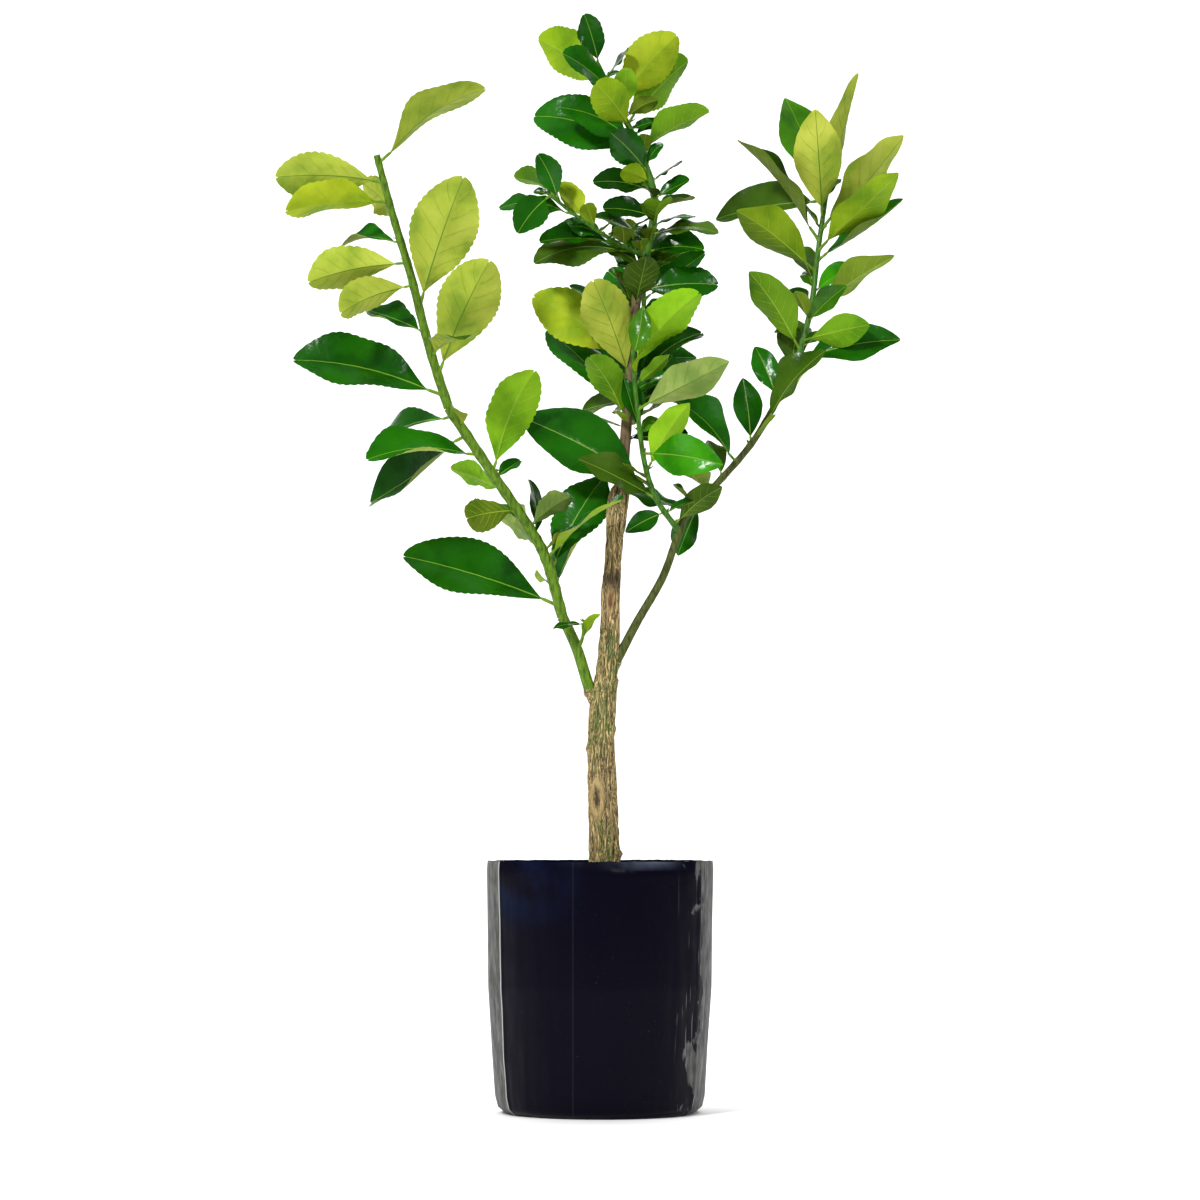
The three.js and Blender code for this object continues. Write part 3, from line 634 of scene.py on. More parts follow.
# Studio, in metres.
CAMERA_PLACE = (0, -3.0, 0.23)
CAMERA_AIM = (0, 0, 0.408)
CAMERA_LENS = 112.5
PAPER_SIZE = (9, 5)
PAPER_SHIFT = 1.3
PAPER_RISE = 4
PAPER_BEND = 1.6
PAPER_BEND_STEPS = 24
PAPER_ROUGHNESS = 0.9
PAPER_GLOSS = 0.1
PAPER_GREYS = ((0.86, 0.86, 0.86), (0.89, 0.89, 0.89))
LAMPS = [
    # name, place, what it points at, width and height, power's property, seen in gloss
    ("key_light", (-1.3, -2.3, 2.3), (0, 0, 0.5), (0.35, 0.35), "key_power", True),
    ("glint_light", (1.0, -2.6, 1.5), (0, 0, 0.6), (0.14, 0.14), "glint_power", True),
    ("left_light", (-2.6, -0.9, 0.8), (0, 0, 0.4), (0.9, 1.8), "side_power", False),
    ("right_light", (2.4, -1.4, 1.0), (0, 0, 0.4), (0.9, 1.8), "side_power", False),
    ("back_light", (0, 0.9, 3.2), (0, 2.6, 0.6), (4.0, 1.0), "back_power", False),
]


# The growth rule, the same as that of the solids.


def mix(one, other, share):
    return one + (other - one) * share


def level(angle):
    """The level direction at an angle in radians."""
    return np.array([math.cos(angle), math.sin(angle), 0])


def seeded_random(seed):
    """The same numbers from 0 to 1 each time, for one seed."""
    state = seed % SEED_RANGE

    def draw():
        nonlocal state
        state = (state * SEED_STEP[0] + SEED_STEP[1]) % SEED_RANGE
        return state / SEED_RANGE

    return draw


class Route:
    """A smooth curve through points."""

    def __init__(self, path):
        self.path = np.array(path, float)

    def point(self, share):
        path = self.path
        last = len(path) - 1
        place = last * share
        step = min(int(place), last - 1)
        weight = place - step
        one, two = path[step], path[step + 1]
        before = path[step - 1] if step > 0 else 2 * path[0] - path[1]
        after = path[step + 2] if step + 2 <= last else 2 * path[last] - path[last - 1]
        start, end = 0.5 * (two - before), 0.5 * (after - one)
        square = -3 * one + 3 * two - 2 * start - end
        cube = 2 * one - 2 * two + start + end
        return one + weight * (start + weight * (square + weight * cube))

    def points(self, shares):
        return np.array([self.point(share) for share in shares])

    def tangent(self, share):
        step = self.point(min(share + TANGENT_STEP, 1)) - self.point(max(share - TANGENT_STEP, 0))
        return step / np.linalg.norm(step)


def loft(rings):
    """Points and triangles of a closed surface through rings, with a fan over each end."""
    count = len(rings[0])
    points = np.concatenate([*rings, [np.mean(rings[0], 0)], [np.mean(rings[-1], 0)]])
    first = len(rings) * count
    last = first + 1
    top = first - count
    faces = []
    for side in range(count):
        after = (side + 1) % count
        faces += [(first, after, side), (last, top + side, top + after)]
        for row in range(0, top, count):
            faces.append((row + side, row + after, row + count + after))
            faces.append((row + side, row + count + after, row + count + side))
    return points, faces


class Body:
    """A closed surface that can be tested against others."""

    def __init__(self, name, rings):
        points, faces = loft(rings)
        self.name = name
        self.low, self.high = points.min(0), points.max(0)
        self.tree = BVHTree.FromPolygons([Vector(point) for point in points], faces, all_triangles=True)

    def touches(self, other):
        if np.any(self.low > other.high) or np.any(other.low > self.high):
            return False
        return bool(self.tree.overlap(other.tree))


def turns_round(sides):
    return 2 * math.pi * np.arange(sides) / sides


def axis_apart_from(direction):
    """The y axis, or the x axis where the direction runs along y."""
    return np.array([0, 1, 0] if abs(direction[1]) < ALONG_AXIS else [1, 0, 0], float)


def round_ring(centre, reach, right, away, sides):
    turns = turns_round(sides)
    return centre + reach * (np.outer(np.cos(turns), right) + np.outer(np.sin(turns), away))


def limb_reach(radius, collar, share):
    return mix(*radius, share) + collar * (1 - share) ** COLLAR_POWER


def limb_rings(route, radius, collar, sides, steps):
    """Rings of a round limb along a curve, thicker by its collar at its foot."""
    chord = route.point(1) - route.point(0)
    reference = axis_apart_from(chord / np.linalg.norm(chord))
    rings = []
    for step in range(steps + 1):
        share = step / steps
        along = route.tangent(share)
        right = np.cross(reference, along)
        right /= np.linalg.norm(right)
        away = np.cross(along, right)
        rings.append(round_ring(route.point(share), limb_reach(radius, collar, share), right, away, sides))
    return rings


def fluted(radius, turns, heights):
    return radius * (1 + FLUTE * np.sin(FLUTES * turns + heights / FLUTE_RISE))


def trunk_rings():
    turns = turns_round(TRUNK_SIDES)
    rings = []
    for across, height, radius in TRUNK:
        reach = fluted(radius, turns, height)
        heights = np.full(TRUNK_SIDES, height)
        rings.append(np.stack([across + reach * np.cos(turns), reach * np.sin(turns), heights], 1))
    return rings


def blade_frames(leaf, shares):
    """Where a leaf's midrib is at shares of its length, and which way the blade lies there."""
    shares = np.asarray(shares, float)
    bend = math.radians(max(leaf["droop"], 1))
    start = math.radians(leaf["rise"])
    now = start - bend * shares
    heading = math.radians(leaf["heading"])
    ahead = level(heading)
    length = leaf["length"]
    point = (
        leaf["root"]
        + np.outer(length * (math.sin(start) - np.sin(now)) / bend, ahead)
        + np.outer(length * (np.cos(now) - math.cos(start)) / bend, UP)
    )
    along = np.outer(np.cos(now), ahead) + np.outer(np.sin(now), UP)
    side = np.array([-math.sin(heading), math.cos(heading), 0])
    roll = np.radians(leaf["roll"] + leaf["twist"] * shares)[:, None]
    across = side * np.cos(roll) + np.cross(along, side) * np.sin(roll)
    return point, across, np.cross(along, across)


def half_width(leaf, shares):
    """Half the blade's width at shares of the blade, from the petiole to the tip."""
    fullness = mix(FULLNESS[0], FULLNESS[1] - BLUNTNESS * leaf["kind"]["blunt"], shares)
    return leaf["length"] * leaf["kind"]["width"] * np.sin(math.pi * shares) ** fullness / 2


def leaf_body(name, leaf, first=0):
    """The coarse leaf, enlarged by the clearance, that tests for room."""
    petiole = leaf["kind"]["petiole"]
    thick = max(LEAF_THINNEST, LEAF_THICKNESS * leaf["length"]) / 2
    stations = np.array(SHORT_BLADE_STATIONS if leaf["length"] < SHORT_BLADE else BLADE_STATIONS)
    shares = np.concatenate([[0, petiole], mix(petiole, 1, stations), [1]])
    halves = np.concatenate([[PETIOLE_HALF[0]] * 2, half_width(leaf, stations), [thick]]) + LEAF_CLEARANCE
    depths = np.array([PETIOLE_HALF[1]] * 2 + [thick] * len(stations) + [thick / 2]) + LEAF_CLEARANCE
    point, across, upper = blade_frames(leaf, shares)
    fold = math.radians(leaf["fold"])
    right = across * (halves * math.cos(fold))[:, None]
    lift = upper * (halves * math.sin(fold))[:, None]
    face = upper * depths[:, None]
    rings = np.stack([point + right + lift, point + face, point - right + lift, point - face], 1)
    return Body(name, list(rings[first:]))


def seen_at(x, z, depth):
    """The point at a depth that an eye in front of the tree sees at x and z."""
    ahead = (AIM - EYE) / np.linalg.norm(AIM - EYE)
    up = np.cross((1, 0, 0), ahead)
    ray = -EYE[1] * ahead + (z - AIM[2]) * up
    ray[0] = x
    return EYE + ray * (depth - EYE[1]) / ray[1]


def aim_leaf(leaf, tip):
    """Turns a leaf so that its tip comes to its place and its upper side to the front."""
    _, x, z, depth, facing = tip
    reach = seen_at(x, z, leaf["root"][1] + depth) - leaf["root"]
    distance = float(np.linalg.norm(reach))
    heading = math.atan2(reach[1], reach[0])
    slope = math.asin(reach[2] / distance)
    half_bend = math.radians(leaf["kind"]["droop"]) / 2
    across = math.cos(heading)
    upright = math.sin(slope) * math.sin(heading)
    share = min(1, max(-1, facing / math.hypot(across, upright)))
    middle = math.atan2(across, upright)
    leaf["heading"] = math.degrees(heading)
    leaf["rise"] = math.degrees(slope + half_bend)
    leaf["length"] = distance * half_bend / math.sin(half_bend)
    leaf["roll"] = math.degrees(math.copysign(1, middle) * (abs(middle) - math.acos(share)))
    leaf["droop"] = leaf["kind"]["droop"]
    leaf["twist"] /= AIMED_CALM


def leaf_at(shoot, place, attempt):
    """The leaf that the rule gives at one place on a shoot, or the one whose tip is stated."""
    draw = seeded_random(np.dot(LEAF_SEEDS, (shoot["seed"], place, attempt)).item())

    def stray(amount, more=0):
        return (2 * draw() - 1) * (amount + more * attempt)

    kind = shoot["kind"]
    share = (place + FIRST_LEAF) / shoot["leaves"]
    leaf = dict(kind=kind, root=shoot["route"].point(share), place=place)
    leaf["heading"] = shoot["phase"] + LEAF_TURN * place + stray(*HEADING_STRAY)
    leaf["rise"] = mix(*shoot["rise"], share) + stray(*RISE_STRAY)
    leaf["length"] = mix(*shoot["length"], share) * (1 + stray(LENGTH_STRAY)) * (1 - SHORTER * attempt)
    leaf["roll"] = stray(ROLL_STRAY)
    leaf["twist"] = stray(TWIST_STRAY)
    leaf["droop"] = kind["droop"] + stray(DROOP_STRAY)
    leaf["fold"] = kind["fold"] + stray(FOLD_STRAY)
    leaf["roll"] += LIGHT_ROLL * math.cos(math.radians(leaf["heading"]))
    for tip in shoot["tips"]:
        if tip[0] == place:
            aim_leaf(leaf, tip)
            leaf["heading"] += stray(*AIMED_STRAY)
            leaf["rise"] += stray(*AIMED_STRAY)
            leaf["roll"] += stray(*AIMED_ROLL_STRAY)
            leaf["length"] *= 1 - AIMED_SHORTER * attempt
    return leaf


class Growth:
    """All limbs, leaves and twigs of the tree, grown once by the rule."""

    def __init__(self):
        self.limbs = [Body("trunk", trunk_rings())]
        self.blades = []
        self.leaves = {mass["name"]: [] for mass in MASSES}
        self.twigs = {mass["name"]: [] for mass in MASSES}
        for bough in BOUGHS:
            route = Route(bough["path"])
            rings = limb_rings(
                route, bough["radius"], bough["collar"], BOUGH_TEST_SIDES, 2 * len(bough["path"])
            )
            self.limbs.append(Body(bough["name"], rings))
        shoots = [dict(mass, route=Route(mass["path"])) for mass in MASSES]
        for shoot in shoots:
            steps = 2 * len(shoot["path"]) - 2
            rings = limb_rings(shoot["route"], shoot["radius"], 0, STEM_TEST_SIDES, steps)
            self.limbs.append(Body(shoot["name"], rings))
        for shoot in shoots:
            for tip in shoot["tips"]:
                self.add_leaf(shoot, tip[0])
        for shoot in shoots:
            aimed = {tip[0] for tip in shoot["tips"]}
            for place in range(shoot["leaves"]):
                if place not in aimed:
                    self.add_leaf(shoot, place)
        for shoot in shoots:
            self.add_twigs(shoot)
        for shoot in shoots:
            self.add_extra_leaves(shoot)

    def takes_room(self, name, leaf):
        """Takes the room for a leaf that stands clear of limbs and leaves, and says whether it does."""
        blade = leaf_body(name, leaf, 1)
        if np.any(blade.low < CROWN[0]) or np.any(blade.high > CROWN[1]):
            return False
        whole = leaf_body(name, leaf)
        outer = leaf_body(name, leaf, 3)
        if any((outer if limb.name == name else whole).touches(limb) for limb in self.limbs):
            return False
        if any((blade if other.name == name else whole).touches(other) for other in self.blades):
            return False
        self.blades.append(whole)
        return True

    def add_leaf(self, shoot, place, on_shoot=True):
        for attempt in range(TRIES):
            leaf = leaf_at(shoot, place, attempt)
            if self.takes_room(shoot["name"], leaf):
                leaf["on_shoot"] = on_shoot
                self.leaves[shoot["name"]].append(leaf)
                return

    def add_extra_leaves(self, shoot):
        """Small leaves by the same rule, between those that the solids have."""
        count, longest, shortest = EXTRA_LEAVES.get(shoot["name"], (0, 0, 0))
        extra = dict(shoot, leaves=count, tips=[], length=(longest, shortest))
        extra["seed"] += EXTRA_SEED
        extra["phase"] += EXTRA_PHASE
        for place in range(count):
            self.add_leaf(extra, place, on_shoot=False)

    def add_twigs(self, shoot):
        """Short side twigs, turned round the shoot by the rule, each with leaves of its own."""
        name = shoot["name"]
        for number in range(shoot.get("twigs", 0)):
            draw = seeded_random(np.dot(TWIG_SEEDS, (shoot["seed"], number)).item())
            root = shoot["route"].point((number + TWIG_PLACE[0]) / (shoot["twigs"] + TWIG_PLACE[1]))
            heading = math.radians(shoot["phase"] + TWIG_TURN * number + TWIG_STRAY * draw())
            rise = math.radians(mix(*TWIG_RISE, draw()))
            length = TWIG_LENGTH * mix(*TWIG_LENGTHS, draw())
            ahead = level(heading) * math.cos(rise)
            middle = root + 0.5 * length * ahead + UP * (0.5 * length * math.sin(rise) - TWIG_SAG)
            tip = root + length * ahead + UP * (length * math.sin(rise))
            route = Route([root, middle, tip])
            twig = Body(name, limb_rings(route, TWIG_RADIUS, 0, *TWIG_TEST))
            others = [limb for limb in self.limbs if limb.name != name] + self.blades
            if any(twig.touches(other) for other in others):
                continue
            self.twigs[name].append(route)
            side = dict(shoot, route=route, leaves=TWIG_LEAVES, tips=[])
            side["seed"] += TWIG_SEED * (number + 1)
            side["length"] = [TWIG_LEAF * length for length in shoot["length"]]
            for place in range(TWIG_LEAVES):
                self.add_leaf(side, place, on_shoot=False)


# Meshes from arrays.


class Heap:
    """Points and faces of many small bodies that become one piece, with a finish for each face."""

    def __init__(self):
        self.points, self.faces, self.finishes = [], [], []
        self.count = 0

    def add(self, points, faces, finishes):
        self.points.append(np.asarray(points, float))
        self.faces += [tuple(corner + self.count for corner in face) for face in faces]
        self.finishes += [finishes] * len(faces) if isinstance(finishes, str) else finishes
        self.count += len(points)

    def piece(self, name):
        used = sorted(set(self.finishes))
        mesh = bpy.data.meshes.new(name)
        mesh.from_pydata((np.concatenate(self.points) * MM).tolist(), [], self.faces)
        for finish in used:
            mesh.materials.append(FINISHES[finish])
        mesh.polygons.foreach_set("material_index", [used.index(finish) for finish in self.finishes])
        mesh.polygons.foreach_set("use_smooth", [True] * len(self.faces))
        mesh.update()
        piece = linked(name, mesh)
        bpy.ops.object.shade_smooth_by_angle(angle=math.radians(SMOOTH_ANGLE))
        return piece


def linked(name, data):
    """A new object in the scene, active and alone selected."""
    thing = bpy.data.objects.new(name, data)
    bpy.context.scene.collection.objects.link(thing)
    start_fresh()
    bpy.context.view_layer.objects.active = thing
    thing.select_set(True)
    return thing


def tube(rings):
    """Points and faces of a closed tube: quads along it and a face over each end."""
    sides = len(rings[0])
    faces = []
    for row in range(len(rings) - 1):
        low, high = row * sides, (row + 1) * sides
        for side in range(sides):
            after = (side + 1) % sides
            faces.append((low + side, low + after, high + after, high + side))
    faces.append(tuple(range(sides))[::-1])
    faces.append(tuple((len(rings) - 1) * sides + side for side in range(sides)))
    return np.concatenate(rings), faces


def rings_along(points, radii, sides):
    """Rings square to a line of points, with the radii given."""
    points = np.asarray(points, float)
    along = np.gradient(points, axis=0)
    along /= np.linalg.norm(along, axis=1)[:, None]
    right = np.cross(axis_apart_from(along[0]), along)
    right /= np.linalg.norm(right, axis=1)[:, None]
    rows = zip(points, radii, right, np.cross(along, right))
    return [round_ring(centre, reach, one, two, sides) for centre, reach, one, two in rows]


class Blade:
    """The middle sheet of one leaf's blade, with its own waves, curl and teeth."""

    def __init__(self, leaf, draw, looks):
        kind, length = leaf["kind"], leaf["length"]
        self.leaf, self.kind = leaf, kind
        self.size = min(1, length / USUAL_LENGTH)
        self.petiole = kind["petiole"]
        self.teeth = max(FEWEST_TEETH, round(length * (1 - self.petiole) / kind["teeth"]))
        self.depth = looks.tooth_depth / MM * self.size * kind["serration"]
        self.fold = math.radians(leaf["fold"])
        self.waves = [(EDGE_WAVES[0] + EDGE_WAVES[1] * draw(), 2 * math.pi * draw()) for _ in range(2)]
        self.ripple = looks.edge_ripple / MM * self.size
        self.arch = mix(*ARCH, draw()) * length
        self.cup = mix(*CUP, draw())
        self.vein_depth = looks.vein_depth / MM
        self.phase = draw()

    def half(self, shares):
        return self.kind["slim"] * half_width(self.leaf, shares ** self.kind["full_end"])

    def rib(self, shares):
        widest = mix(*RIB_HALF, shares) * math.sqrt(self.leaf["length"] / USUAL_LENGTH)
        return np.minimum(widest, RIB_MOST * self.half(shares))

    def place(self, shares, column, reach):
        """Points and face directions where the blade is at shares along it and columns across it."""
        point, across, upper = blade_frames(self.leaf, mix(self.petiole, 1, shares.ravel()))
        flat = shares.ravel()
        col, far = column.ravel(), reach.ravel()
        off = np.abs(col)
        swell = np.sin(math.pi * flat) ** 0.5
        lift = off**FOLD_POWER * math.sin(self.fold) + self.cup * off**CUP_POWER * swell
        lift = self.half(flat) * lift
        for side, (count, phase) in zip((-1, 1), self.waves):
            wave = self.ripple * swell * np.sin(2 * math.pi * count * flat + phase)
            lift += np.where(col * side > 0, wave * off**2, 0)
        lift += self.arch * np.sin(math.pi * flat)
        vein = np.abs(np.sin(math.pi * (VEIN_PAIRS * (flat - VEIN_SLANT * off) + self.phase)))
        lift -= self.vein_depth * (1 - vein) ** 2 * (1 - off**VEIN_FADE) * swell
        spot = point + across * (far * math.cos(self.fold))[:, None] + upper * lift[:, None]
        notch = self.kind["notch"] * self.size * np.exp(-((col / NOTCH_WIDTH) ** 2))
        near_tip = np.clip((flat - NOTCH_START) / (1 - NOTCH_START), 0, 1) ** 2
        spot -= np.cross(across, upper) * (near_tip * notch)[:, None]
        return spot.reshape(*shares.shape, 3), upper.reshape(*shares.shape, 3)


def add_leaf_mesh(heap, leaf, tint, draw, looks):
    """A leaf with a toothed outline, a midrib, sunken veins and a rippled edge, on its petiole."""
    top, under = tint
    blade = Blade(leaf, draw, looks)
    stations = TOOTH_STATIONS * blade.teeth
    inner = np.arange(1, stations) / stations
    shares = np.concatenate([[BLADE_ENDS[0] / stations], inner, [1 - BLADE_ENDS[1] / stations]])
    half = blade.half(shares)
    teeth = np.abs(np.sin(math.pi * blade.teeth * shares)) - TOOTH_LEVEL
    bite = teeth * np.sin(math.pi * shares) ** TEETH_FADE
    edge = half + blade.depth * bite * np.clip((shares - TEETH_START[0]) / TEETH_START[1], 0, 1)
    reach = np.outer(half, COLUMNS)
    reach[:, 0], reach[:, -1] = -edge, edge
    rib = blade.rib(shares)
    reach[:, RIB[0]], reach[:, RIB[1]] = -rib, rib
    rows, columns = len(shares), len(COLUMNS)
    middle, upper = blade.place(np.tile(shares[:, None], columns), np.tile(COLUMNS, (rows, 1)), reach)
    body = looks.leaf_thickness / MM / 2 * (1 - np.abs(COLUMNS) ** THIN_EDGE_POWER)
    ridge = np.where(np.isin(np.arange(columns), RIB), RIB_RIDGE, 0.0)
    tops = middle + upper * body[None, :, None]
    unders = middle - upper * (body + ridge)[None, :, None]
    above = np.arange(rows * columns).reshape(rows, columns)
    inside = np.zeros((rows, columns), bool)
    inside[1:-1, 1:-1] = True
    below = above.copy()
    below[inside] = rows * columns + np.arange(inside.sum())
    tops[~inside] = middle[~inside]
    points = np.concatenate([tops.reshape(-1, 3), unders[inside]])
    faces, finishes = [], []
    for row in range(rows - 1):
        for col in range(columns - 1):
            on_rib = col == RIB[0]
            corners = (row, col), (row, col + 1), (row + 1, col + 1), (row + 1, col)
            faces.append([above[corners[turn]] for turn in (0, 3, 2, 1)])
            finishes.append(rib_of(top) if on_rib else "top_" + top)
            faces.append([below[corner] for corner in corners])
            finishes.append(rib_of(under) if on_rib else "under_" + under)
    heap.add(points, faces, finishes)
    add_veins(heap, blade, under, looks)
    add_petiole(heap, leaf)


def add_veins(heap, blade, under, looks):
    """Side veins as slim ridges under the blade, from the midrib towards the edge."""
    if blade.leaf["length"] < VEINED_LENGTH:
        return
    along = np.linspace(0, 1, VEIN_STEPS)
    for pair in range(1, VEIN_PAIRS):
        start = (pair - blade.phase) / VEIN_PAIRS
        for side in (-1, 1):
            column = side * mix(0.0, VEIN_REACH, along)
            shares = start + VEIN_SLANT * np.abs(column)
            if start < VEIN_BOUNDS[0] or shares[-1] > VEIN_BOUNDS[1]:
                continue
            spots, upper = blade.place(shares, column, blade.half(shares) * column)
            line = spots - upper * (looks.leaf_thickness / MM / 2 + VEIN_PROUD)
            heap.add(*tube(rings_along(line, mix(*VEIN_RADII, along), 3)), rib_of(under, "vein_"))


def add_petiole(heap, leaf):
    shares = np.linspace(0, leaf["kind"]["petiole"] * PETIOLE_REACH, len(PETIOLE_RADII))
    line, _, _ = blade_frames(leaf, shares)
    radii = PETIOLE_RADII * math.sqrt(leaf["length"] / USUAL_LENGTH)
    heap.add(*tube(rings_along(line, radii, PETIOLE_SIDES)), "stalk")


def rib_of(tint, part="rib_"):
    colour = tint.split("_")[0]
    return part + next(rib for rib, tints in RIB_OF.items() if colour in tints)


# Finishes.

FINISHES = {}


class Finish:
    """A material that is put together node by node. Values are given to the shader's own sockets."""

    def __init__(self, name, **values):
        self.material = bpy.data.materials.new(name)
        self.material.use_nodes = True
        self.tree = self.material.node_tree
        self.shader = self.fill(self.tree.nodes["Principled BSDF"], values)
        FINISHES[name] = self.material

    def fill(self, node, values):
        for key, value in values.items():
            if hasattr(node, key):
                setattr(node, key, value)
            else:
                self.feed(node, key.replace("_", " "), value)
        return node

    def feed(self, node, socket, value):
        """Gives a socket a link, a number or three numbers."""
        socket = node.inputs[socket]
        if isinstance(value, bpy.types.NodeSocket):
            self.tree.links.new(value, socket)
        elif socket.type == "RGBA":
            socket.default_value = (*value, 1)
        else:
            socket.default_value = value

    def add(self, kind, **values):
        return self.fill(self.tree.nodes.new("ShaderNode" + kind), values)

    def placed(self, *scale, **values):
        """Object coordinates, scaled, or turned too."""
        where = self.add("TexCoord").outputs["Object"]
        return self.add("Mapping", Vector=where, Scale=scale, **values).outputs["Vector"]

    def noise(self, where, scale, detail, output="Fac"):
        return self.add("TexNoise", Vector=where, Scale=scale, Detail=detail).outputs[output]

    def stored(self, name):
        return self.add("Attribute", attribute_name=name).outputs["Fac"]

    def ramp(self, source, *stops):
        """A colour ramp over a value, with stops of place and colour."""
        node = self.add("ValToRGB", Fac=source)
        elements = node.color_ramp.elements
        while len(elements) < len(stops):
            elements.new(0.5)
        for element, (place, colour) in zip(elements, stops):
            element.position = place
            element.color = (*colour, 1)
        return node.outputs["Color"]

    def shades(self, source, stops, colour, amounts):
        """A ramp from darker to lighter shades of one colour."""
        return self.ramp(source, *zip(stops, [shade(colour, amount) for amount in amounts]))

    def blend(self, factor, one, other):
        """Two colours mixed by a factor. A colour is a socket or three numbers."""
        return self.add("MixRGB", Fac=factor, Color1=one, Color2=other).outputs["Color"]

    def between(self, source, low, high):
        """0 to 1 as a value goes from low to high, or the other way round."""
        return self.add("MapRange", Value=source, From_Min=low, From_Max=high).outputs[0]

    def maths(self, operation, *values):
        """A sum of sockets and numbers."""
        node = self.add("Math", operation=operation)
        for place, value in enumerate(values):
            self.feed(node, place, value)
        return node.outputs[0]

    def times(self, one, other):
        return self.maths("MULTIPLY", one, other)

    def distance(self, one, other):
        return self.maths("ABSOLUTE", self.maths("SUBTRACT", one, other))

    def bump(self, height, strength, distance, **under):
        """A bump by a height between 0 and 1, over another one where it is given."""
        node = self.add("Bump", Height=height, Strength=strength, Distance=distance, **under)
        return node.outputs["Normal"]

    def wear(self, colour, normal):
        """Gives the shader its colour and its bump."""
        self.feed(self.shader, "Base Color", colour)
        self.feed(self.shader, "Normal", normal)


def shade(colour, amount):
    return tuple(min(1.0, part * amount) for part in colour)


def leaf_finish(name, colour, variety, roughness, gloss, bump):
    """A leaf's face: a soft mottle from deeper green to paler yellow, a fine grain and its gloss."""
    leaf = Finish(name, Roughness=roughness, Specular_IOR_Level=gloss)
    where = leaf.placed(1, 1, 1)
    deeper = [part * (1 - share * variety) for part, share in zip(colour, DEEPER)]
    paler = [part * (1 + share * variety) for part, share in zip(colour, PALER)]
    mottle = leaf.ramp(leaf.noise(where, *LEAF_MOTTLE), *zip(LEAF_STOPS, (deeper, colour, paler)))
    strength, height = GRAIN_BUMP
    grain = leaf.bump(leaf.noise(where, *LEAF_GRAIN), strength * bump, height)
    leaf.wear(mottle, leaf.bump(leaf.noise(where, *LEAF_LUMPS), bump, LUMP_HEIGHT, Normal=grain))


def leaf_finishes(looks):
    """Every leaf finish in a few shades, from a little darker to a little lighter."""
    for number in range(SHADES):
        amount = mix(1 - SHADE_SPREAD, 1 + SHADE_SPREAD, number / (SHADES - 1))
        for tint in TOP_TINTS:
            colour = shade(getattr(looks, tint + "_top"), amount)
            leaf_finish(f"top_{tint}_{number}", colour, TOP_VARIETY, looks.leaf_gloss, TOP_GLOSS, LEAF_BUMP)
        for tint in UNDER_TINTS:
            colour = shade(getattr(looks, tint + "_under"), amount)
            leaf_finish(f"under_{tint}_{number}", colour, *UNDER_LOOK)
    for part, amount in (("rib_", 1.0), ("vein_", VEIN_SHADE)):
        for rib, (colour, variety, roughness) in RIB_LOOKS.items():
            leaf_finish(part + rib, shade(colour, amount), variety, roughness, RIB_GLOSS, RIB_BUMP)


def stem_finish(name, colour, streak, roughness):
    """Young bark: fine lengthwise streaks and pale pores."""
    stem = Finish(name, Roughness=roughness, Specular_IOR_Level=STEM_GLOSS)
    streaks = stem.noise(stem.placed(1, 1, STEM_RUN), *STEM_STREAKS)
    colours = stem.ramp(streaks, *zip(STEM_STOPS, (streak, colour, shade(colour, STEM_PALER))))
    stem.wear(colours, stem.bump(streaks, *STEM_BUMP))


def bark_finish(looks):
    """Old bark: pale ridges between dark cracks, greener in patches, with scars, a stain and a wound, and
    painted shade in the hollows of its relief and of its scars.
    """
    bark = Finish("trunk_bark", Roughness=BARK_ROUGHNESS)
    where = bark.placed(1, 1, BARK_RUN)
    bent = bark.add("VectorMath", operation="MULTIPLY_ADD")
    sway = bark.noise(where, *BARK_BENDS, "Color")
    for place, value in enumerate((sway, BARK_BEND, bark.placed(1, 1, BARK_FLOW_RUN))):
        bark.feed(bent, place, value)
    flow = bark.noise(bent.outputs[0], *BARK_FLOW)
    fibres = bark.noise(bent.outputs[0], *BARK_FIBRES)
    patches = bark.noise(where, *BARK_PATCHES)
    ridge = bark.distance(flow, 0.5)
    base = tuple(looks.bark_colour)
    ridges = bark.shades(fibres, RIDGE_STOPS, base, RIDGE_SHADES)
    wood = bark.blend(bark.between(ridge, *CRACK_WIDTH), ridges, shade(base, CRACK_SHADE))
    # Painted shade: darker where the bark's relief is sunk.
    painted_sunk_shade = bark.ramp(bark.stored("relief"), *zip(SUNK_STOPS, ((1, 1, 1), (0, 0, 0))))
    wood = bark.blend(painted_sunk_shade, wood, shade(base, SUNK_SHADE))
    green = bark.times(bark.between(patches, *MOSS_PATCHES), bark.between(fibres, *MOSS_FIBRES))
    wood = bark.blend(green, wood, MOSS_COLOUR)
    # Dark band, and painted shade of the scars' hollows.
    wood = bark.blend(bark.stored("stain"), wood, STAIN_COLOUR)
    wood = bark.blend(bark.stored("wound"), wood, WOUND_COLOUR)
    wood = bark.blend(bark.stored("callus"), wood, shade(base, CALLUS_SHADE))
    height = bark.maths("ADD", fibres, bark.between(ridge, *CRACK_RISE))
    bark.wear(wood, bark.bump(height, *BARK_BUMP))


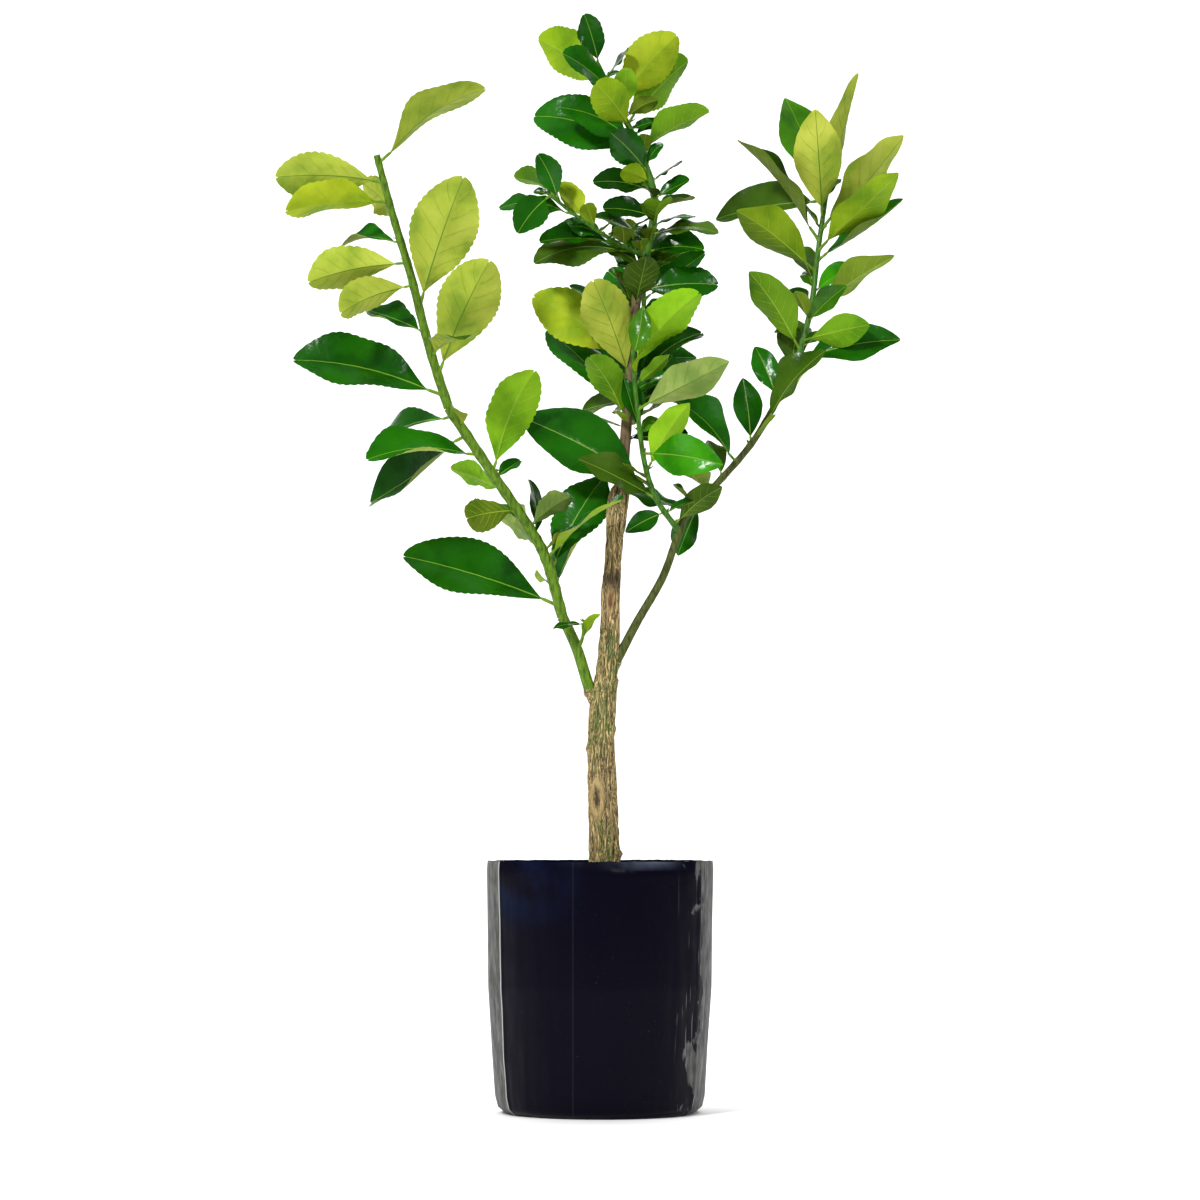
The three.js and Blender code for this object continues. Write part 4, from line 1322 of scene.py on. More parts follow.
def film_finish(looks):
    """Black film: side gussets grey with dust and a painted sheen, a painted highlight along one crease, a
    painted sheen under the rim, a seam, scratches, specks and a blue bloom.
    """
    film = Finish("bag_film", Specular_IOR_Level=FILM_GLOSS)
    where = film.placed(1, 1, 1)
    axes = film.add("SeparateXYZ", Vector=where).outputs
    across, away, height = axes["X"], axes["Y"], axes["Z"]
    angle = film.maths("ARCTAN2", film.maths("ABSOLUTE", away), film.maths("ABSOLUTE", across))
    crease = math.radians(CREASES[0])

    ragged = film.noise(film.placed(1, 1, RAG_RUN), *FILM_RAGS)
    reach = film.times(film.maths("SUBTRACT", ragged, 0.5), film.between(across, *RAGGED_SIDE))
    edge = film.maths("ADD", angle, film.times(reach, GUSSET_RAGS))
    gusset = film.between(edge, crease + GUSSET_BLUR, crease - GUSSET_BLUR)

    clouds = film.noise(where, *FILM_CLOUDS)
    bloom = film.times(film.between(across, *BLOOM_ACROSS), film.between(height, *BLOOM_HEIGHT))
    bloom = film.times(bloom, film.between(clouds, *BLOOM_CLOUDS))
    front = film.blend(bloom, tuple(looks.film_colour), BLOOM_COLOUR)
    sheen = film.times(film.between(height, *SHEEN_HEIGHT), film.between(away, *SHEEN_AWAY))
    sheen = film.times(sheen, film.between(film.distance(across, SHEEN_MIDDLE), *SHEEN_HALF))
    front = film.blend(film.times(sheen, film.between(clouds, *SHEEN_CLOUDS)), front, SHEEN_COLOUR)
    seam = film.between(film.distance(across, -SEAM_LEFT), *SEAM_HALF)
    front = film.blend(film.times(seam, SEAM_STRENGTH), front, SEAM_COLOUR)

    # The gussets' grey is real dust and a painted sheen of light glancing off the film.
    grey = tuple(looks.dust_and_sheen_colour)
    streaks = film.noise(film.placed(1, 1, STREAK_RUN), *FILM_STREAKS)
    dust_and_sheen = film.shades(streaks, DUST_AND_SHEEN_STOPS, grey, DUST_AND_SHEEN_SHADES)
    colour = film.blend(gusset, front, dust_and_sheen)
    # Painted highlight along the left crease.
    fold = film.between(film.distance(angle, crease), *CREASE_HIGHLIGHT_ANGLE)
    colour = film.blend(film.times(fold, film.between(across, *CREASE_HIGHLIGHT_SIDE)), colour, CREASE_HIGHLIGHT_COLOUR)

    slanted = film.placed(1, 1, SCRATCH_RUN, Rotation=(0, math.radians(SCRATCH_SLANT), 0))
    lines = film.between(film.noise(slanted, *FILM_SCRATCHES), *SCRATCH_LINES)
    near = film.times(film.between(angle, *SCRATCH_ANGLE), film.between(across, *SCRATCH_SIDE))
    colour = film.blend(film.times(lines, near), colour, SCRATCH_COLOUR)
    specks = film.between(film.noise(where, *FILM_SPECKS), *SPECK_EDGE)
    colour = film.blend(film.times(specks, SPECK_STRENGTH), colour, SPECK_COLOUR)

    creasing = film.noise(film.placed(1, 1, CREASING_RUN), *FILM_CREASING)
    film.wear(colour, film.bump(creasing, *FILM_BUMP))
    panel, side = FILM_ROUGHNESS
    rough = film.add("MapRange", Value=gusset, To_Min=panel, To_Max=side).outputs[0]
    film.feed(film.shader, "Roughness", rough)


def mix_finish(looks):
    """Damp bark and peat."""
    soil = Finish("potting_mix", Roughness=MIX_ROUGHNESS)
    crumbs = soil.noise(soil.placed(1, 1, 1), *MIX_CRUMBS)
    colours = soil.shades(crumbs, MIX_STOPS, looks.mix_colour, MIX_SHADES)
    soil.wear(colours, soil.bump(crumbs, *MIX_BUMP))


def make_finishes(looks):
    leaf_finishes(looks)
    for name, (streak, roughness) in YOUNG_BARKS.items():
        colour = getattr(looks, name)
        stem_finish(name, colour, shade(colour, streak), roughness)
    for name, finish in STREAKED.items():
        stem_finish(name, *finish)
    bark_finish(looks)
    film_finish(looks)
    mix_finish(looks)


# Pieces made by hand tools.


def start_fresh():
    if bpy.context.object and bpy.context.object.mode != "OBJECT":
        bpy.ops.object.mode_set(mode="OBJECT")
    bpy.ops.object.select_all(action="DESELECT")


def select_parts(piece, kind, parts, chosen):
    """Selects the edges or faces that pass the test, and opens edit mode."""
    bpy.ops.object.mode_set(mode="EDIT")
    bpy.ops.mesh.select_mode(type=kind)
    bpy.ops.mesh.select_all(action="DESELECT")
    bpy.ops.object.mode_set(mode="OBJECT")
    for part in getattr(piece.data, parts):
        part.select = bool(chosen(part))
    bpy.ops.object.mode_set(mode="EDIT")


def select_faces(piece, chosen):
    select_parts(piece, "FACE", "polygons", lambda face: chosen(face.center / MM))


def select_edges(piece, chosen):
    """Selects edges by a test of their two ends, in millimetres."""
    points = points_of(piece)
    select_parts(piece, "EDGE", "edges", lambda edge: chosen(*(points[end] for end in edge.vertices)))


def upright_cylinder(name, sides, radius, low, high, rings, caps="NGON"):
    """A cylinder whose side is divided into rings."""
    start_fresh()
    middle = (0, 0, (low + high) / 2 * MM)
    bpy.ops.mesh.primitive_cylinder_add(
        vertices=sides, radius=radius * MM, depth=(high - low) * MM, location=middle, end_fill_type=caps
    )
    piece = bpy.context.object
    piece.name = piece.data.name = name
    bpy.ops.object.transform_apply(location=True, rotation=True, scale=True)
    select_edges(piece, lambda one, two: abs(one[2] - two[2]) > 1)
    bpy.ops.mesh.subdivide(number_cuts=rings - 1)
    bpy.ops.object.mode_set(mode="OBJECT")
    return piece


def inset_rings(piece, height, count, apart):
    """Divides the round face at a height into rings, in to its middle."""
    select_faces(piece, lambda middle: abs(middle[2] - height) < SAME)
    for _ in range(count):
        bpy.ops.mesh.inset(thickness=apart * MM)
    bpy.ops.mesh.poke()
    bpy.ops.object.mode_set(mode="OBJECT")


def points_of(piece):
    points = np.empty(3 * len(piece.data.vertices))
    piece.data.vertices.foreach_get("co", points)
    return points.reshape(-1, 3) / MM


def set_points(piece, points):
    piece.data.vertices.foreach_set("co", (points * MM).ravel())
    piece.data.update()


def round_places(points, radius):
    """Height, angle in degrees and share of a radius of points round the upright axis."""
    angles = np.degrees(np.arctan2(points[:, 1], points[:, 0])) % 360
    return points[:, 2].copy(), angles, np.hypot(points[:, 0], points[:, 1]) / radius


def move_round(points, radius, angles):
    points[:, 0] = radius * np.cos(np.radians(angles))
    points[:, 1] = radius * np.sin(np.radians(angles))


def finish_piece(piece, slot_name, *nodes, material=None):
    """Hangs a piece under the root and hides the solids that it stands for; where a finish is named, gives
    it that finish and smooth faces.
    """
    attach(piece, "root")
    if nodes:
        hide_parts(*nodes)
    if material:
        piece.data.materials.clear()
        piece.data.materials.append(FINISHES[material])
        piece.data.polygons.foreach_set("use_smooth", [True] * len(piece.data.polygons))


def store_attribute(piece, name, values):
    attribute = piece.data.attributes.new(name, "FLOAT", "POINT")
    attribute.data.foreach_set("value", np.asarray(values, np.float32))


def noise_at(points, scale, seed, reach=1):
    """Smooth noise at points, with one scale an axis, from minus its reach to its reach."""
    scaled = np.asarray(points) * np.asarray(scale) + seed
    return np.array([noise.noise(Vector(point)) for point in scaled]) * reach


def from_crease(angles):
    return np.min([np.abs(crease - angles) for crease in CREASES], 0)


def bag_radius(heights, angles):
    nearest = from_crease(angles)
    ridge = CREASE_RIDGE[0] * np.exp(-nearest / CREASE_RIDGE[1])
    foot = CREASE_FOOT[0] * np.exp(-((nearest / CREASE_FOOT[1]) ** 2))
    return np.interp(heights, BAG_HEIGHTS, BAG_RADII) + CREASE_HEIGHT * (ridge + foot)


def make_bag(looks):
    top = BAG_HEIGHTS[-1]
    bag = upright_cylinder("bag", BAG_SIDES, BAG_RADII[0], 0, top, BAG_RINGS)
    select_faces(bag, lambda middle: middle[2] > top - SAME)
    bpy.ops.mesh.delete(type="FACE")
    bpy.ops.object.mode_set(mode="OBJECT")
    inset_rings(bag, 0, *BASE_RINGS)
    points = points_of(bag)
    heights, angles, reach = round_places(points, BAG_RADII[0])
    turns = np.radians(angles)
    round_the_bag = np.stack([np.cos(turns), np.sin(turns), heights / top], 1)
    folds = noise_at(round_the_bag, *SWELL) + noise_at(round_the_bag, *WRINKLES)
    folds += noise_at(round_the_bag, *CREASE_PULL) * np.exp(-((from_crease(angles) / PULL_WIDTH) ** 2))
    rim = np.clip((heights - RIM_BEND) / (top - RIM_BEND), 0, 1)
    where, width, depth = RIM_DENT
    lean = RIM_LEAN * rim**2 + depth * rim**DENT_POWER * np.exp(-(((angles - where) / width) ** 2))
    plain = bag_radius(heights, angles)
    folded = plain + np.where(heights > SAME, folds - lean, 0) * np.clip(heights / FOLD_FOOT, 0, 1)
    move_round(points, np.minimum(folded, plain + FOLD_LIMIT) * reach, angles)
    ragged = noise_at(round_the_bag, *RIM_WAVES) + noise_at(round_the_bag, *RIM_NICKS)
    points[:, 2] += rim * (ragged - RIM_DROP)
    set_points(bag, points)
    bpy.context.view_layer.objects.active = bag
    bag.select_set(True)
    wall = bag.modifiers.new("wall", "SOLIDIFY")
    wall.thickness = looks.film_thickness
    wall.offset = -1
    bpy.ops.object.modifier_apply(modifier=wall.name)
    finish_piece(bag, "bag_film", "planter_bag", material="bag_film")
    bpy.ops.object.shade_smooth_by_angle(angle=math.radians(BAG_SMOOTH_ANGLE))


def make_potting_mix(looks):
    edge = SOIL_TOP - SOIL_DROP
    soil = upright_cylinder("soil", SOIL_SIDES, BAG_RADII[-1], SOIL_FOOT, edge, SOIL_SIDE_RINGS)
    inset_rings(soil, edge, *SOIL_TOP_RINGS)
    points = points_of(soil)
    heights, angles, reach = round_places(points, BAG_RADII[-1])
    radius = bag_radius(heights, angles) - looks.film_thickness / MM - GAP - SOIL_CLEARANCE
    move_round(points, radius * reach, angles)
    crumbs = noise_at(points, *CRUMBS) + noise_at(points, *FINE_CRUMBS)
    rise = SOIL_DROP * np.clip(1 - reach, 0, 1) ** SOIL_CROWN
    seat = np.clip((np.hypot(points[:, 0], points[:, 1]) - SEAT[0]) / SEAT[1], 0, 1)
    points[:, 2] += np.where(heights > edge - SAME, rise + crumbs * seat, 0)
    set_points(soil, points)
    finish_piece(soil, "potting_mix", "potting_mix", material="potting_mix")
    finish_piece(chip_heap().piece("chips"), "potting_mix")


def chip_heap():
    """Bits of bark and pumice that lie on the mix."""
    chips = Heap()
    draw = seeded_random(CHIP_SEED)
    for _ in range(CHIPS):
        turn, far = 2 * math.pi * draw(), CHIP_FURTHEST * math.sqrt(mix(CHIP_INNER, 1, draw()))
        size = mix(*CHIP_SIZES, draw() ** 2)
        spot = far * level(turn) + UP * (SOIL_TOP - CHIP_FALL * far + CHIP_LIFT)
        lie, tilt = math.pi * draw(), CHIP_TILT * (draw() - 0.5)
        ahead = level(lie) * math.cos(tilt) + UP * math.sin(tilt)
        side = np.array([-math.sin(lie), math.cos(lie), 0]) * mix(*CHIP_WIDTHS, draw())
        up = np.cross(ahead, side) * mix(*CHIP_DEPTHS, draw())
        rings = []
        for share, reach in CHIP_RINGS:
            turns = 2 * math.pi * (np.arange(CHIP_SIDES) + draw()) / CHIP_SIDES
            corners = reach * np.array([mix(*CHIP_CORNERS, draw()) for _ in turns])
            outline = np.outer(corners * np.cos(turns), side) + np.outer(corners * np.sin(turns), up)
            rings.append(spot + size * (share * ahead + outline))
        if far > CHIP_NEAREST:
            chips.add(*tube(rings), "pumice" if draw() < PUMICE_SHARE else "bark_chip")
    return chips


def trunk_line(heights):
    """The trunk's middle and radius at heights, with its stations blended."""
    stations = TRUNK[:, 1]
    across = np.mean([np.interp(heights + step, stations, TRUNK[:, 0]) for step in TRUNK_BLEND], 0)
    radius = np.mean([np.interp(heights + step, stations, TRUNK[:, 2]) for step in TRUNK_BLEND], 0)
    return across, radius


def bark_relief(points, fissures):
    """How far old bark stands out at points, from deep cracks to ridges near 1."""
    reach, scale, seeds = BARK_SWAY
    bent = points + reach * np.stack([noise_at(points, scale, seed) for seed in seeds], 1)
    across, along, seed, height = BARK_GRAIN
    wide = noise_at(bent, (fissures, fissures, fissures * FISSURE_RUN), FISSURE_SEED)
    narrow = noise_at(bent, (fissures * across, fissures * across, fissures * along), seed)
    return 1 - FISSURE_DEPTH * np.exp(-np.abs(wide) * FISSURE_STEEPNESS) + height * narrow


# Stores the relief for the painted shade in the bark's hollows.
def store_relief(piece, relief):
    flat, share = RELIEF_COLOUR
    store_attribute(piece, "relief", np.clip(flat + share * relief, 0, 1))


def make_trunk(looks):
    sides, plain_radius, rings = TRUNK_MESH
    low, high = TRUNK[0][1], TRUNK[-1][1]
    trunk = upright_cylinder("trunk_limb", sides, plain_radius, low, high, rings, "TRIFAN")
    points = points_of(trunk)
    heights = points[:, 2].copy()
    turns = np.arctan2(points[:, 1], points[:, 0])
    reach = np.hypot(points[:, 0], points[:, 1]) / plain_radius
    across, radius = trunk_line(heights)
    radius = fluted(radius, turns, heights)
    surface = np.stack([across + radius * np.cos(turns), radius * np.sin(turns), heights], 1)
    relief = bark_relief(surface, TRUNK_FISSURES)
    stand = looks.bark_relief / MM * relief
    front = surface[:, 1] < 0
    callus, scar_hollow_shade = np.zeros(len(points)), np.zeros(len(points))
    for x, z, wide, tall, lip, sink in SCARS:
        far = np.hypot((surface[:, 0] - x) / wide, (heights - z) / tall)
        ring = np.exp(-(((far - 1) / SCAR_LIP_WIDTH) ** 2))
        stand += np.where(front, lip * ring - sink * np.exp(-((far / SCAR_HOLLOW) ** 2)), 0)
        callus += np.where(front, SCAR_TINT * lip * ring, 0)
        # Painted shade in the scar's hollow.
        shaded = np.exp(-((far / SCAR_SHADE[0]) ** SCAR_SHADE[1]))
        scar_hollow_shade += np.where(front, SCAR_TINT * sink * shaded, 0)
    x, z, wide, tall = WOUND
    wound = np.where(front, np.exp(-(((surface[:, 0] - x) / wide) ** 2) - ((heights - z) / tall) ** 2), 0)
    middle, half, strength = STAIN
    stain = strength * np.exp(-(((heights - middle + 3 * relief) / half) ** 2))
    for angle, z, size, out in KNOBS:
        away = np.abs((np.degrees(turns) - angle + 180) % 360 - 180)
        far = np.hypot(np.radians(away) * radius / size, (heights - z) / size)
        stand += out * np.exp(-(far**2))
    inward, over = TRUNK_ROUNDING
    rounding = inward * np.clip((heights - high + over) / over, 0, 1) ** 2
    reach_out = (radius + stand - rounding) * reach
    points[:, 0] = across + reach_out * np.cos(turns)
    points[:, 1] = reach_out * np.sin(turns)
    set_points(trunk, points)
    store_relief(trunk, relief)
    store_attribute(trunk, "callus", np.clip(callus, 0, 1))
    store_attribute(trunk, "wound", wound)
    # The stain attribute holds the dark band and the painted shade in the scars' hollows.
    store_attribute(trunk, "stain", np.maximum(stain, scar_hollow_shade))
    finish_piece(trunk, "trunk_bark", "trunk", material="trunk_bark")


def make_bough(bough):
    """A tapering limb drawn as a line, with old bark up to its height and young bark above it."""
    name, route = bough["name"], Route(bough["path"])
    line = bpy.data.curves.new(name + "_limb", "CURVE")
    line.dimensions = "3D"
    line.bevel_depth = MM
    line.bevel_resolution = BOUGH_ROUNDNESS
    line.use_fill_caps = True
    spline = line.splines.new("POLY")
    steps = BOUGH_STEPS * (len(bough["path"]) - 1)
    spline.points.add(steps)
    for step in range(steps + 1):
        share = step / steps
        spline.points[step].co = (*(route.point(share) * MM), 1)
        spline.points[step].radius = limb_reach(bough["radius"], bough["collar"], share)
    linked(name + "_limb", line)
    bpy.ops.object.convert(target="MESH")
    limb = bpy.context.object
    limb.data.name = name + "_limb"
    points = points_of(limb)
    normals = np.array([tuple(vertex.normal) for vertex in limb.data.vertices])
    top = bough["old_bark_top"] + noise_at(points, *OLD_BARK_EDGE)
    old = np.clip((top - points[:, 2]) / OLD_BARK_FADE, 0, 1)
    relief = bark_relief(points, BOUGH_FISSURES)
    stand = old * (OLD_BARK[0] + OLD_BARK[1] * relief) + (1 - old) * noise_at(points, *YOUNG_BARK)
    set_points(limb, points + normals * stand[:, None])
    store_relief(limb, relief)
    finish_piece(limb, bough["slot"], name, material=bough["finish"])
    limb.data.materials.append(FINISHES["trunk_bark"])
    for polygon in limb.data.polygons:
        if np.mean(old[list(polygon.vertices)]) > 0.5:
            polygon.material_index = 1


def stem_radii(route, steps, radius, leaves):
    """Places and radii along a stem, swollen where each leaf leaves it."""
    shares = np.linspace(0, 1, steps + 1)
    radii = mix(*radius, shares)
    length = np.sum(np.linalg.norm(np.diff(route.points(shares), axis=0), axis=1))
    swell, half = NODE_SWELL
    for place in range(leaves):
        apart = (shares - (place + FIRST_LEAF) / leaves) * length
        radii = radii + swell * radius[1] * np.exp(-((apart / half) ** 2))
    return shares, radii


def add_bud(heap, leaf, stem_radius, draw):
    """A pointed bud where a leaf joins, and now and then a thorn beside it."""
    ahead = level(math.radians(leaf["heading"]))
    foot = leaf["root"] + BUD_FOOT[0] * stem_radius * ahead + BUD_FOOT[1] * UP
    spikes = [(*BUD, BUD_LEAN * ahead + UP)]
    if draw() < THORN_SHARE:
        side = np.array([-ahead[1], ahead[0], 0]) * (1 if draw() < 0.5 else -1)
        way = THORN_WAY[0] * ahead + THORN_WAY[1] * side + THORN_WAY[2] * UP
        spikes.append((THORN_RADIUS, mix(*THORN_LENGTHS, draw()), way))
    shares, widths = np.array(BUD_SHAPE).T
    for radius, length, way in spikes:
        line = foot + np.outer(shares * length, way / np.linalg.norm(way))
        heap.add(*tube(rings_along(line, radius * widths, BUD_SIDES)), "young_bark")


def make_shoots(growth):
    """Stems, twigs, buds and thorns of each mass, joined into one piece a mass."""
    for mass in MASSES:
        name, radius = mass["name"], mass["radius"]
        heap = Heap()
        route = Route(mass["path"])
        shares, radii = stem_radii(route, STEM_STEPS * (len(mass["path"]) - 1), radius, mass["leaves"])
        stem = rings_along(route.points(shares), radii, STEM_SIDES)
        heap.add(*tube(stem), STEM_FINISH.get(name, "young_bark"))
        for twig in growth.twigs[name]:
            shares = np.linspace(0, 1, TWIG_STEPS + 1)
            stem = rings_along(twig.points(shares), mix(*TWIG_RADIUS, shares), TWIG_SIDES)
            heap.add(*tube(stem), "young_bark")
        draw = seeded_random(mass["seed"] + BUD_SEED)
        for leaf in growth.leaves[name]:
            add_bud(heap, leaf, radius[1], draw)
        piece = heap.piece(name.replace("_foliage", "") + "_stem")
        finish_piece(piece, "olive_bark" if "right" in name or "inner" in name else "green_bark")


def deal_tint(mass, leaf, draw):
    """The names of a leaf's two finishes, each in one of a few shades."""
    usual, single = TINTS[mass["name"]]
    pick, shades = draw(), [int(SHADES * draw()) for _ in range(2)]
    pair = single.get(leaf["place"]) if leaf["on_shoot"] else None
    pair = pair or usual[int(pick * len(usual))]
    return [f"{tint}_{number}" for tint, number in zip(pair.split(), shades)]


def make_leaves(growth, looks):
    """The leaves of each mass with their petioles, joined into one piece a mass."""
    for mass in MASSES:
        name = mass["name"]
        heap = Heap()
        draw = seeded_random(mass["seed"] * BLADE_SEEDS[0] + BLADE_SEEDS[1])
        for leaf in growth.leaves[name]:
            add_leaf_mesh(heap, leaf, deal_tint(mass, leaf, draw), draw, looks)
        finish_piece(heap.piece(name.replace("_foliage", "") + "_leaves"), mass["kind"]["slot"], name)


# Studio.


def aim(thing, target):
    thing.rotation_euler = (Vector(target) - thing.location).to_track_quat("-Z", "Y").to_euler()


def add_lamp(name, place, target, size, power, mirrored):
    lamp = bpy.data.lights.new(name, "AREA")
    lamp.energy = power
    lamp.shape = "RECTANGLE"
    lamp.size, lamp.size_y = size
    thing = linked(name, lamp)
    thing.visible_glossy = mirrored
    thing.location = place
    aim(thing, target)


def make_backdrop():
    """Pale paper that lies under the bag and rises behind it in one sweep."""
    start_fresh()
    bpy.ops.mesh.primitive_plane_add(size=1, location=(0, 0, 0))
    floor = bpy.context.object
    floor.name = floor.data.name = "floor"
    bpy.ops.transform.resize(value=(*PAPER_SIZE, 1), center_override=(0, 0, 0))
    bpy.ops.transform.translate(value=(0, PAPER_SHIFT, 0))
    bpy.ops.object.transform_apply(location=True, rotation=True, scale=True)
    select_edges(floor, lambda one, two: one[1] > 0 and two[1] > 0)
    bpy.ops.mesh.extrude_region_move(TRANSFORM_OT_translate={"value": (0, 0, PAPER_RISE)})
    bpy.ops.object.mode_set(mode="OBJECT")
    select_edges(floor, lambda one, two: min(one[1], two[1]) > 0 and max(one[2], two[2]) < SAME)
    bpy.ops.mesh.bevel(offset=PAPER_BEND, segments=PAPER_BEND_STEPS)
    bpy.ops.object.mode_set(mode="OBJECT")
    bpy.ops.object.shade_smooth()
    paper = Finish("paper", Roughness=PAPER_ROUGHNESS, Specular_IOR_Level=PAPER_GLOSS)
    speckle = paper.noise(paper.placed(1, 1, 1), *PAPER_SPECKLE)
    paper.feed(paper.shader, "Base Color", paper.ramp(speckle, *zip(PAPER_STOPS, PAPER_GREYS)))
    floor.data.materials.append(paper.material)


def make_studio(looks):
    scene = bpy.context.scene
    camera = linked("camera", bpy.data.cameras.new("camera"))
    camera.location = CAMERA_PLACE
    aim(camera, CAMERA_AIM)
    camera.data.lens = CAMERA_LENS
    scene.camera = camera
    make_backdrop()
    for name, place, target, size, power, mirrored in LAMPS:
        add_lamp(name, place, target, size, getattr(looks, power), mirrored)
    scene.world = bpy.data.worlds.new("studio")
    scene.world.use_nodes = True
    room = scene.world.node_tree.nodes["Background"].inputs
    room["Color"].default_value = (1, 1, 1, 1)
    room["Strength"].default_value = looks.sky_strength
    scene.view_settings.view_transform = "Standard"


# Add-on.


def colour_property(name, default, description):
    return bpy.props.FloatVectorProperty(
        name=name, default=default, description=description, subtype="COLOR", size=3, min=0, max=1
    )


def size_property(name, default, description):
    return bpy.props.FloatProperty(name=name, default=default, description=description, unit="LENGTH", min=0)


def power_property(name, default, description):
    return bpy.props.FloatProperty(name=name, default=default, description=description, unit="POWER", min=0)


def share_property(name, default, description):
    return bpy.props.FloatProperty(
        name=name, default=default, description=description, subtype="FACTOR", min=0, max=1
    )


class CitrusSizes(bpy.types.PropertyGroup):
    """Sizes, lights and colours of the looks that a user would change."""

    film_thickness: size_property("Film thickness", 0.0006, "Wall of the planter bag")
    bark_relief: size_property("Bark relief", 0.0008, "How far bark ridges stand out")
    leaf_thickness: size_property("Leaf thickness", 0.00045, "Thickness of a blade at its middle")
    tooth_depth: size_property("Tooth depth", 0.0012, "Depth of the teeth along a blade's edge")
    edge_ripple: size_property("Edge ripple", 0.003, "How far a blade's edge waves")
    vein_depth: size_property("Vein depth", 0.0003, "How deep the side veins are sunk")
    key_power: power_property("Key light", 82, "Main lamp")
    glint_power: power_property("Glint light", 14, "Small lamp")
    side_power: power_property("Side lights", 28, "Side lamps")
    back_power: power_property("Backdrop light", 160, "Lamp for the paper")
    sky_strength: share_property("Room light", 0.22, "Light all round")
    leaf_gloss: share_property("Leaf roughness", 0.22, "Roughness of upper faces")
    dark_top: colour_property("Darkest upper face", (0.005, 0.045, 0.001), "Upper faces of old leaves")
    deep_top: colour_property("Dark upper face", (0.008, 0.09, 0.001), "Most upper faces")
    # Painted shade: a duller, darker green for upper faces that lie in shade.
    moss_top: colour_property("Dull upper face", (0.035, 0.085, 0.004), "Upper faces in the shade")
    mid_top: colour_property("Middle upper face", (0.045, 0.17, 0.004), "Upper faces of the right kind")
    fresh_top: colour_property("Fresh upper face", (0.035, 0.24, 0.002), "Upper faces of new leaves")
    pale_under: colour_property("Pale underside", (0.29, 0.36, 0.035), "Undersides in the light")
    grey_under: colour_property("Grey underside", (0.2, 0.27, 0.06), "Undersides of the right kind")
    lime_under: colour_property("Lime underside", (0.17, 0.28, 0.006), "Undersides of the centre kind")
    olive_under: colour_property("Olive underside", (0.12, 0.19, 0.01), "Undersides of old leaves")
    # Painted light: a paler copy of the pale underside for undersides that face away from the lamps.
    cream_under: colour_property("Cream underside", (0.4, 0.47, 0.05), "Palest undersides of the right kind")
    gold_under: colour_property("Gold underside", (0.27, 0.35, 0.01), "Undersides at the tip of the leader")
    bright_under: colour_property("Bright underside", (0.19, 0.4, 0.008), "Undersides of young leaves")
    leaf_under: colour_property("Green underside", (0.11, 0.25, 0.006), "Undersides of grown leaves")
    # Painted shade: a darker green for undersides that lie in shade.
    moss_under: colour_property("Dull underside", (0.05, 0.1, 0.006), "Undersides in the shade")
    green_bark: colour_property("Green bark", (0.085, 0.17, 0.01), "Left bough and shoots")
    olive_bark: colour_property("Olive bark", (0.06, 0.075, 0.014), "Right bough and shoots")
    leader_bark: colour_property("Leader bark", (0.16, 0.11, 0.06), "Centre leader")
    young_bark: colour_property("Young bark", (0.05, 0.15, 0.012), "Thin green stems")
    bark_colour: colour_property("Trunk bark", (0.31, 0.225, 0.095), "Ridges of the trunk's bark")
    film_colour: colour_property("Film", (0.0014, 0.0011, 0.005), "Panels of the bag")
    # Grey of the gussets: dust with a painted sheen.
    dust_and_sheen_colour: colour_property("Scuffed film", (0.075, 0.075, 0.073), "Side gussets of the bag")
    mix_colour: colour_property("Potting mix", (0.045, 0.028, 0.016), "Crumbs of the potting mix")


GROWN = []


def grown():
    """The tree's growth, worked out once."""
    if not GROWN:
        GROWN.append(Growth())
    return GROWN[0]


class CITRUS_OT_studio(bpy.types.Operator):
    """Set up the floor, the lights and the camera"""

    bl_idname = "citrus.studio"
    bl_label = "Studio"

    def execute(self, context):
        make_studio(context.scene.citrus)
        return {"FINISHED"}


class CITRUS_OT_finishes(bpy.types.Operator):
    """Make the finishes of bark, leaves, film and potting mix"""

    bl_idname = "citrus.finishes"
    bl_label = "Finishes"

    def execute(self, context):
        make_finishes(context.scene.citrus)
        return {"FINISHED"}


class CITRUS_OT_bag(bpy.types.Operator):
    """Make the planter bag"""

    bl_idname = "citrus.bag"
    bl_label = "Planter bag"

    def execute(self, context):
        make_bag(context.scene.citrus)
        return {"FINISHED"}


class CITRUS_OT_potting_mix(bpy.types.Operator):
    """Make the potting mix with its chips"""

    bl_idname = "citrus.potting_mix"
    bl_label = "Potting mix"

    def execute(self, context):
        make_potting_mix(context.scene.citrus)
        return {"FINISHED"}


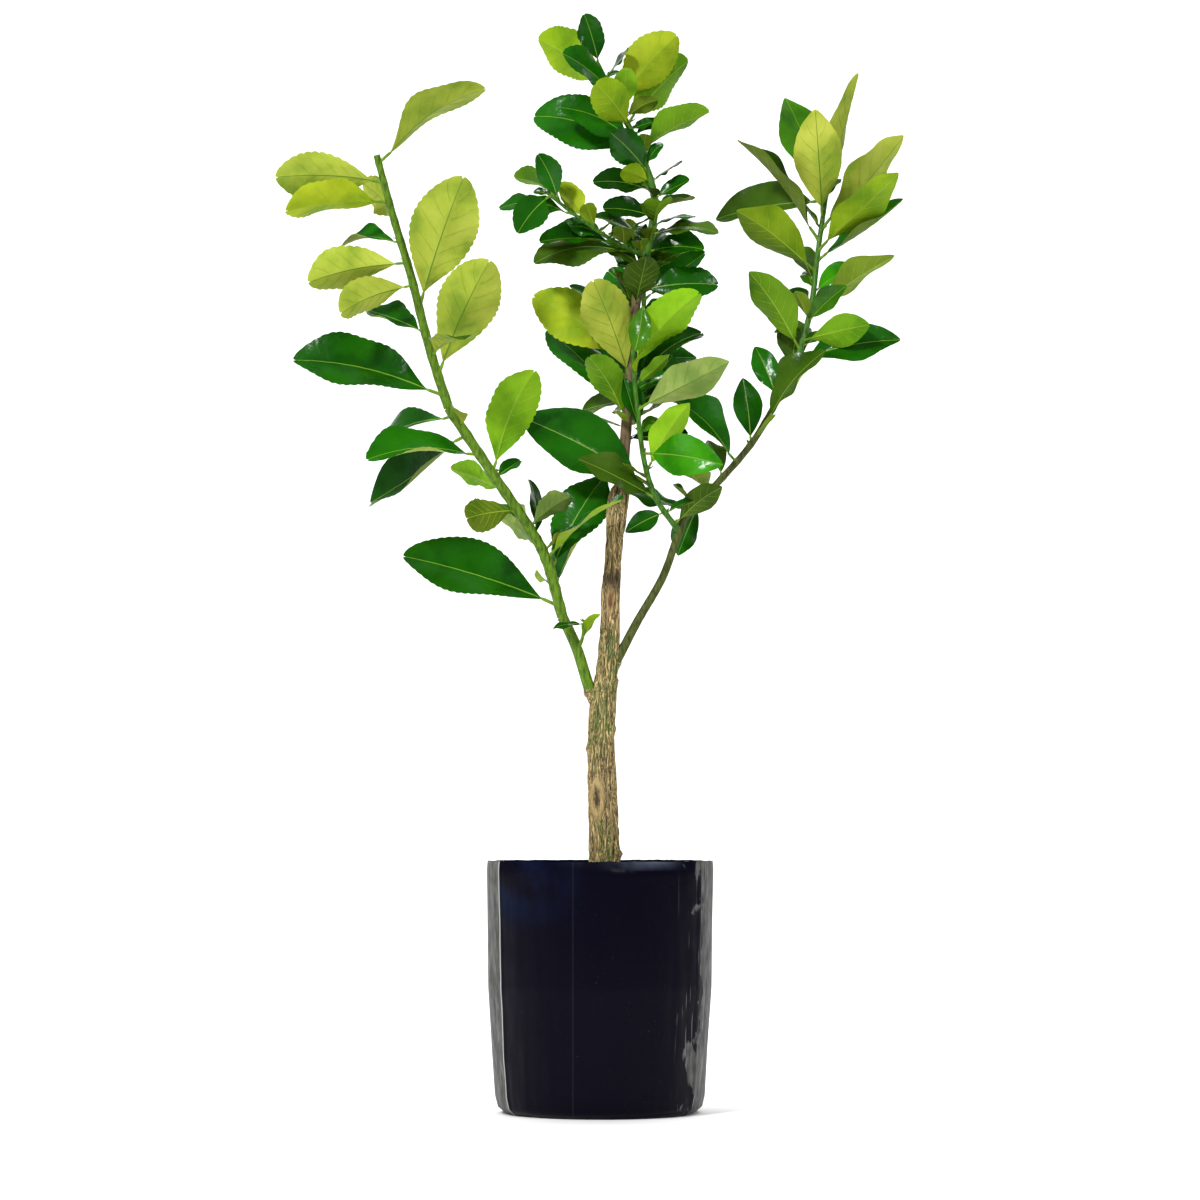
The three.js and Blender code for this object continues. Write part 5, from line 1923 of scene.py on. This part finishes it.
class CITRUS_OT_trunk(bpy.types.Operator):
    """Make the trunk with its bark"""

    bl_idname = "citrus.trunk"
    bl_label = "Trunk"

    def execute(self, context):
        make_trunk(context.scene.citrus)
        return {"FINISHED"}


class CITRUS_OT_boughs(bpy.types.Operator):
    """Make the boughs and the leader"""

    bl_idname = "citrus.boughs"
    bl_label = "Boughs"

    def execute(self, context):
        for bough in BOUGHS:
            make_bough(bough)
        return {"FINISHED"}


class CITRUS_OT_shoots(bpy.types.Operator):
    """Make the stems and twigs of the foliage"""

    bl_idname = "citrus.shoots"
    bl_label = "Stems and twigs"

    def execute(self, context):
        make_shoots(grown())
        return {"FINISHED"}


class CITRUS_OT_leaves(bpy.types.Operator):
    """Make the leaves of the foliage"""

    bl_idname = "citrus.leaves"
    bl_label = "Leaves"

    def execute(self, context):
        make_leaves(grown(), context.scene.citrus)
        return {"FINISHED"}


OPERATORS = (
    CITRUS_OT_studio,
    CITRUS_OT_finishes,
    CITRUS_OT_bag,
    CITRUS_OT_potting_mix,
    CITRUS_OT_trunk,
    CITRUS_OT_boughs,
    CITRUS_OT_shoots,
    CITRUS_OT_leaves,
)


class CITRUS_PT_panel(bpy.types.Panel):
    """Lists the pieces and their sizes"""

    bl_label = "Potted citrus tree"
    bl_space_type = "VIEW_3D"
    bl_region_type = "UI"
    bl_category = "Citrus"

    def draw(self, context):
        for operator in OPERATORS:
            self.layout.operator(operator.bl_idname)
        for name in CitrusSizes.__annotations__:
            self.layout.prop(context.scene.citrus, name)


CLASSES = (CitrusSizes, *OPERATORS, CITRUS_PT_panel)


def register():
    for item in CLASSES:
        bpy.utils.register_class(item)
    bpy.types.Scene.citrus = bpy.props.PointerProperty(type=CitrusSizes)


def unregister():
    del bpy.types.Scene.citrus
    for item in reversed(CLASSES):
        bpy.utils.unregister_class(item)


def main():
    register()
    for operator in OPERATORS:
        group, name = operator.bl_idname.split(".")
        getattr(getattr(bpy.ops, group), name)()


if __name__ == "__main__":
    main()
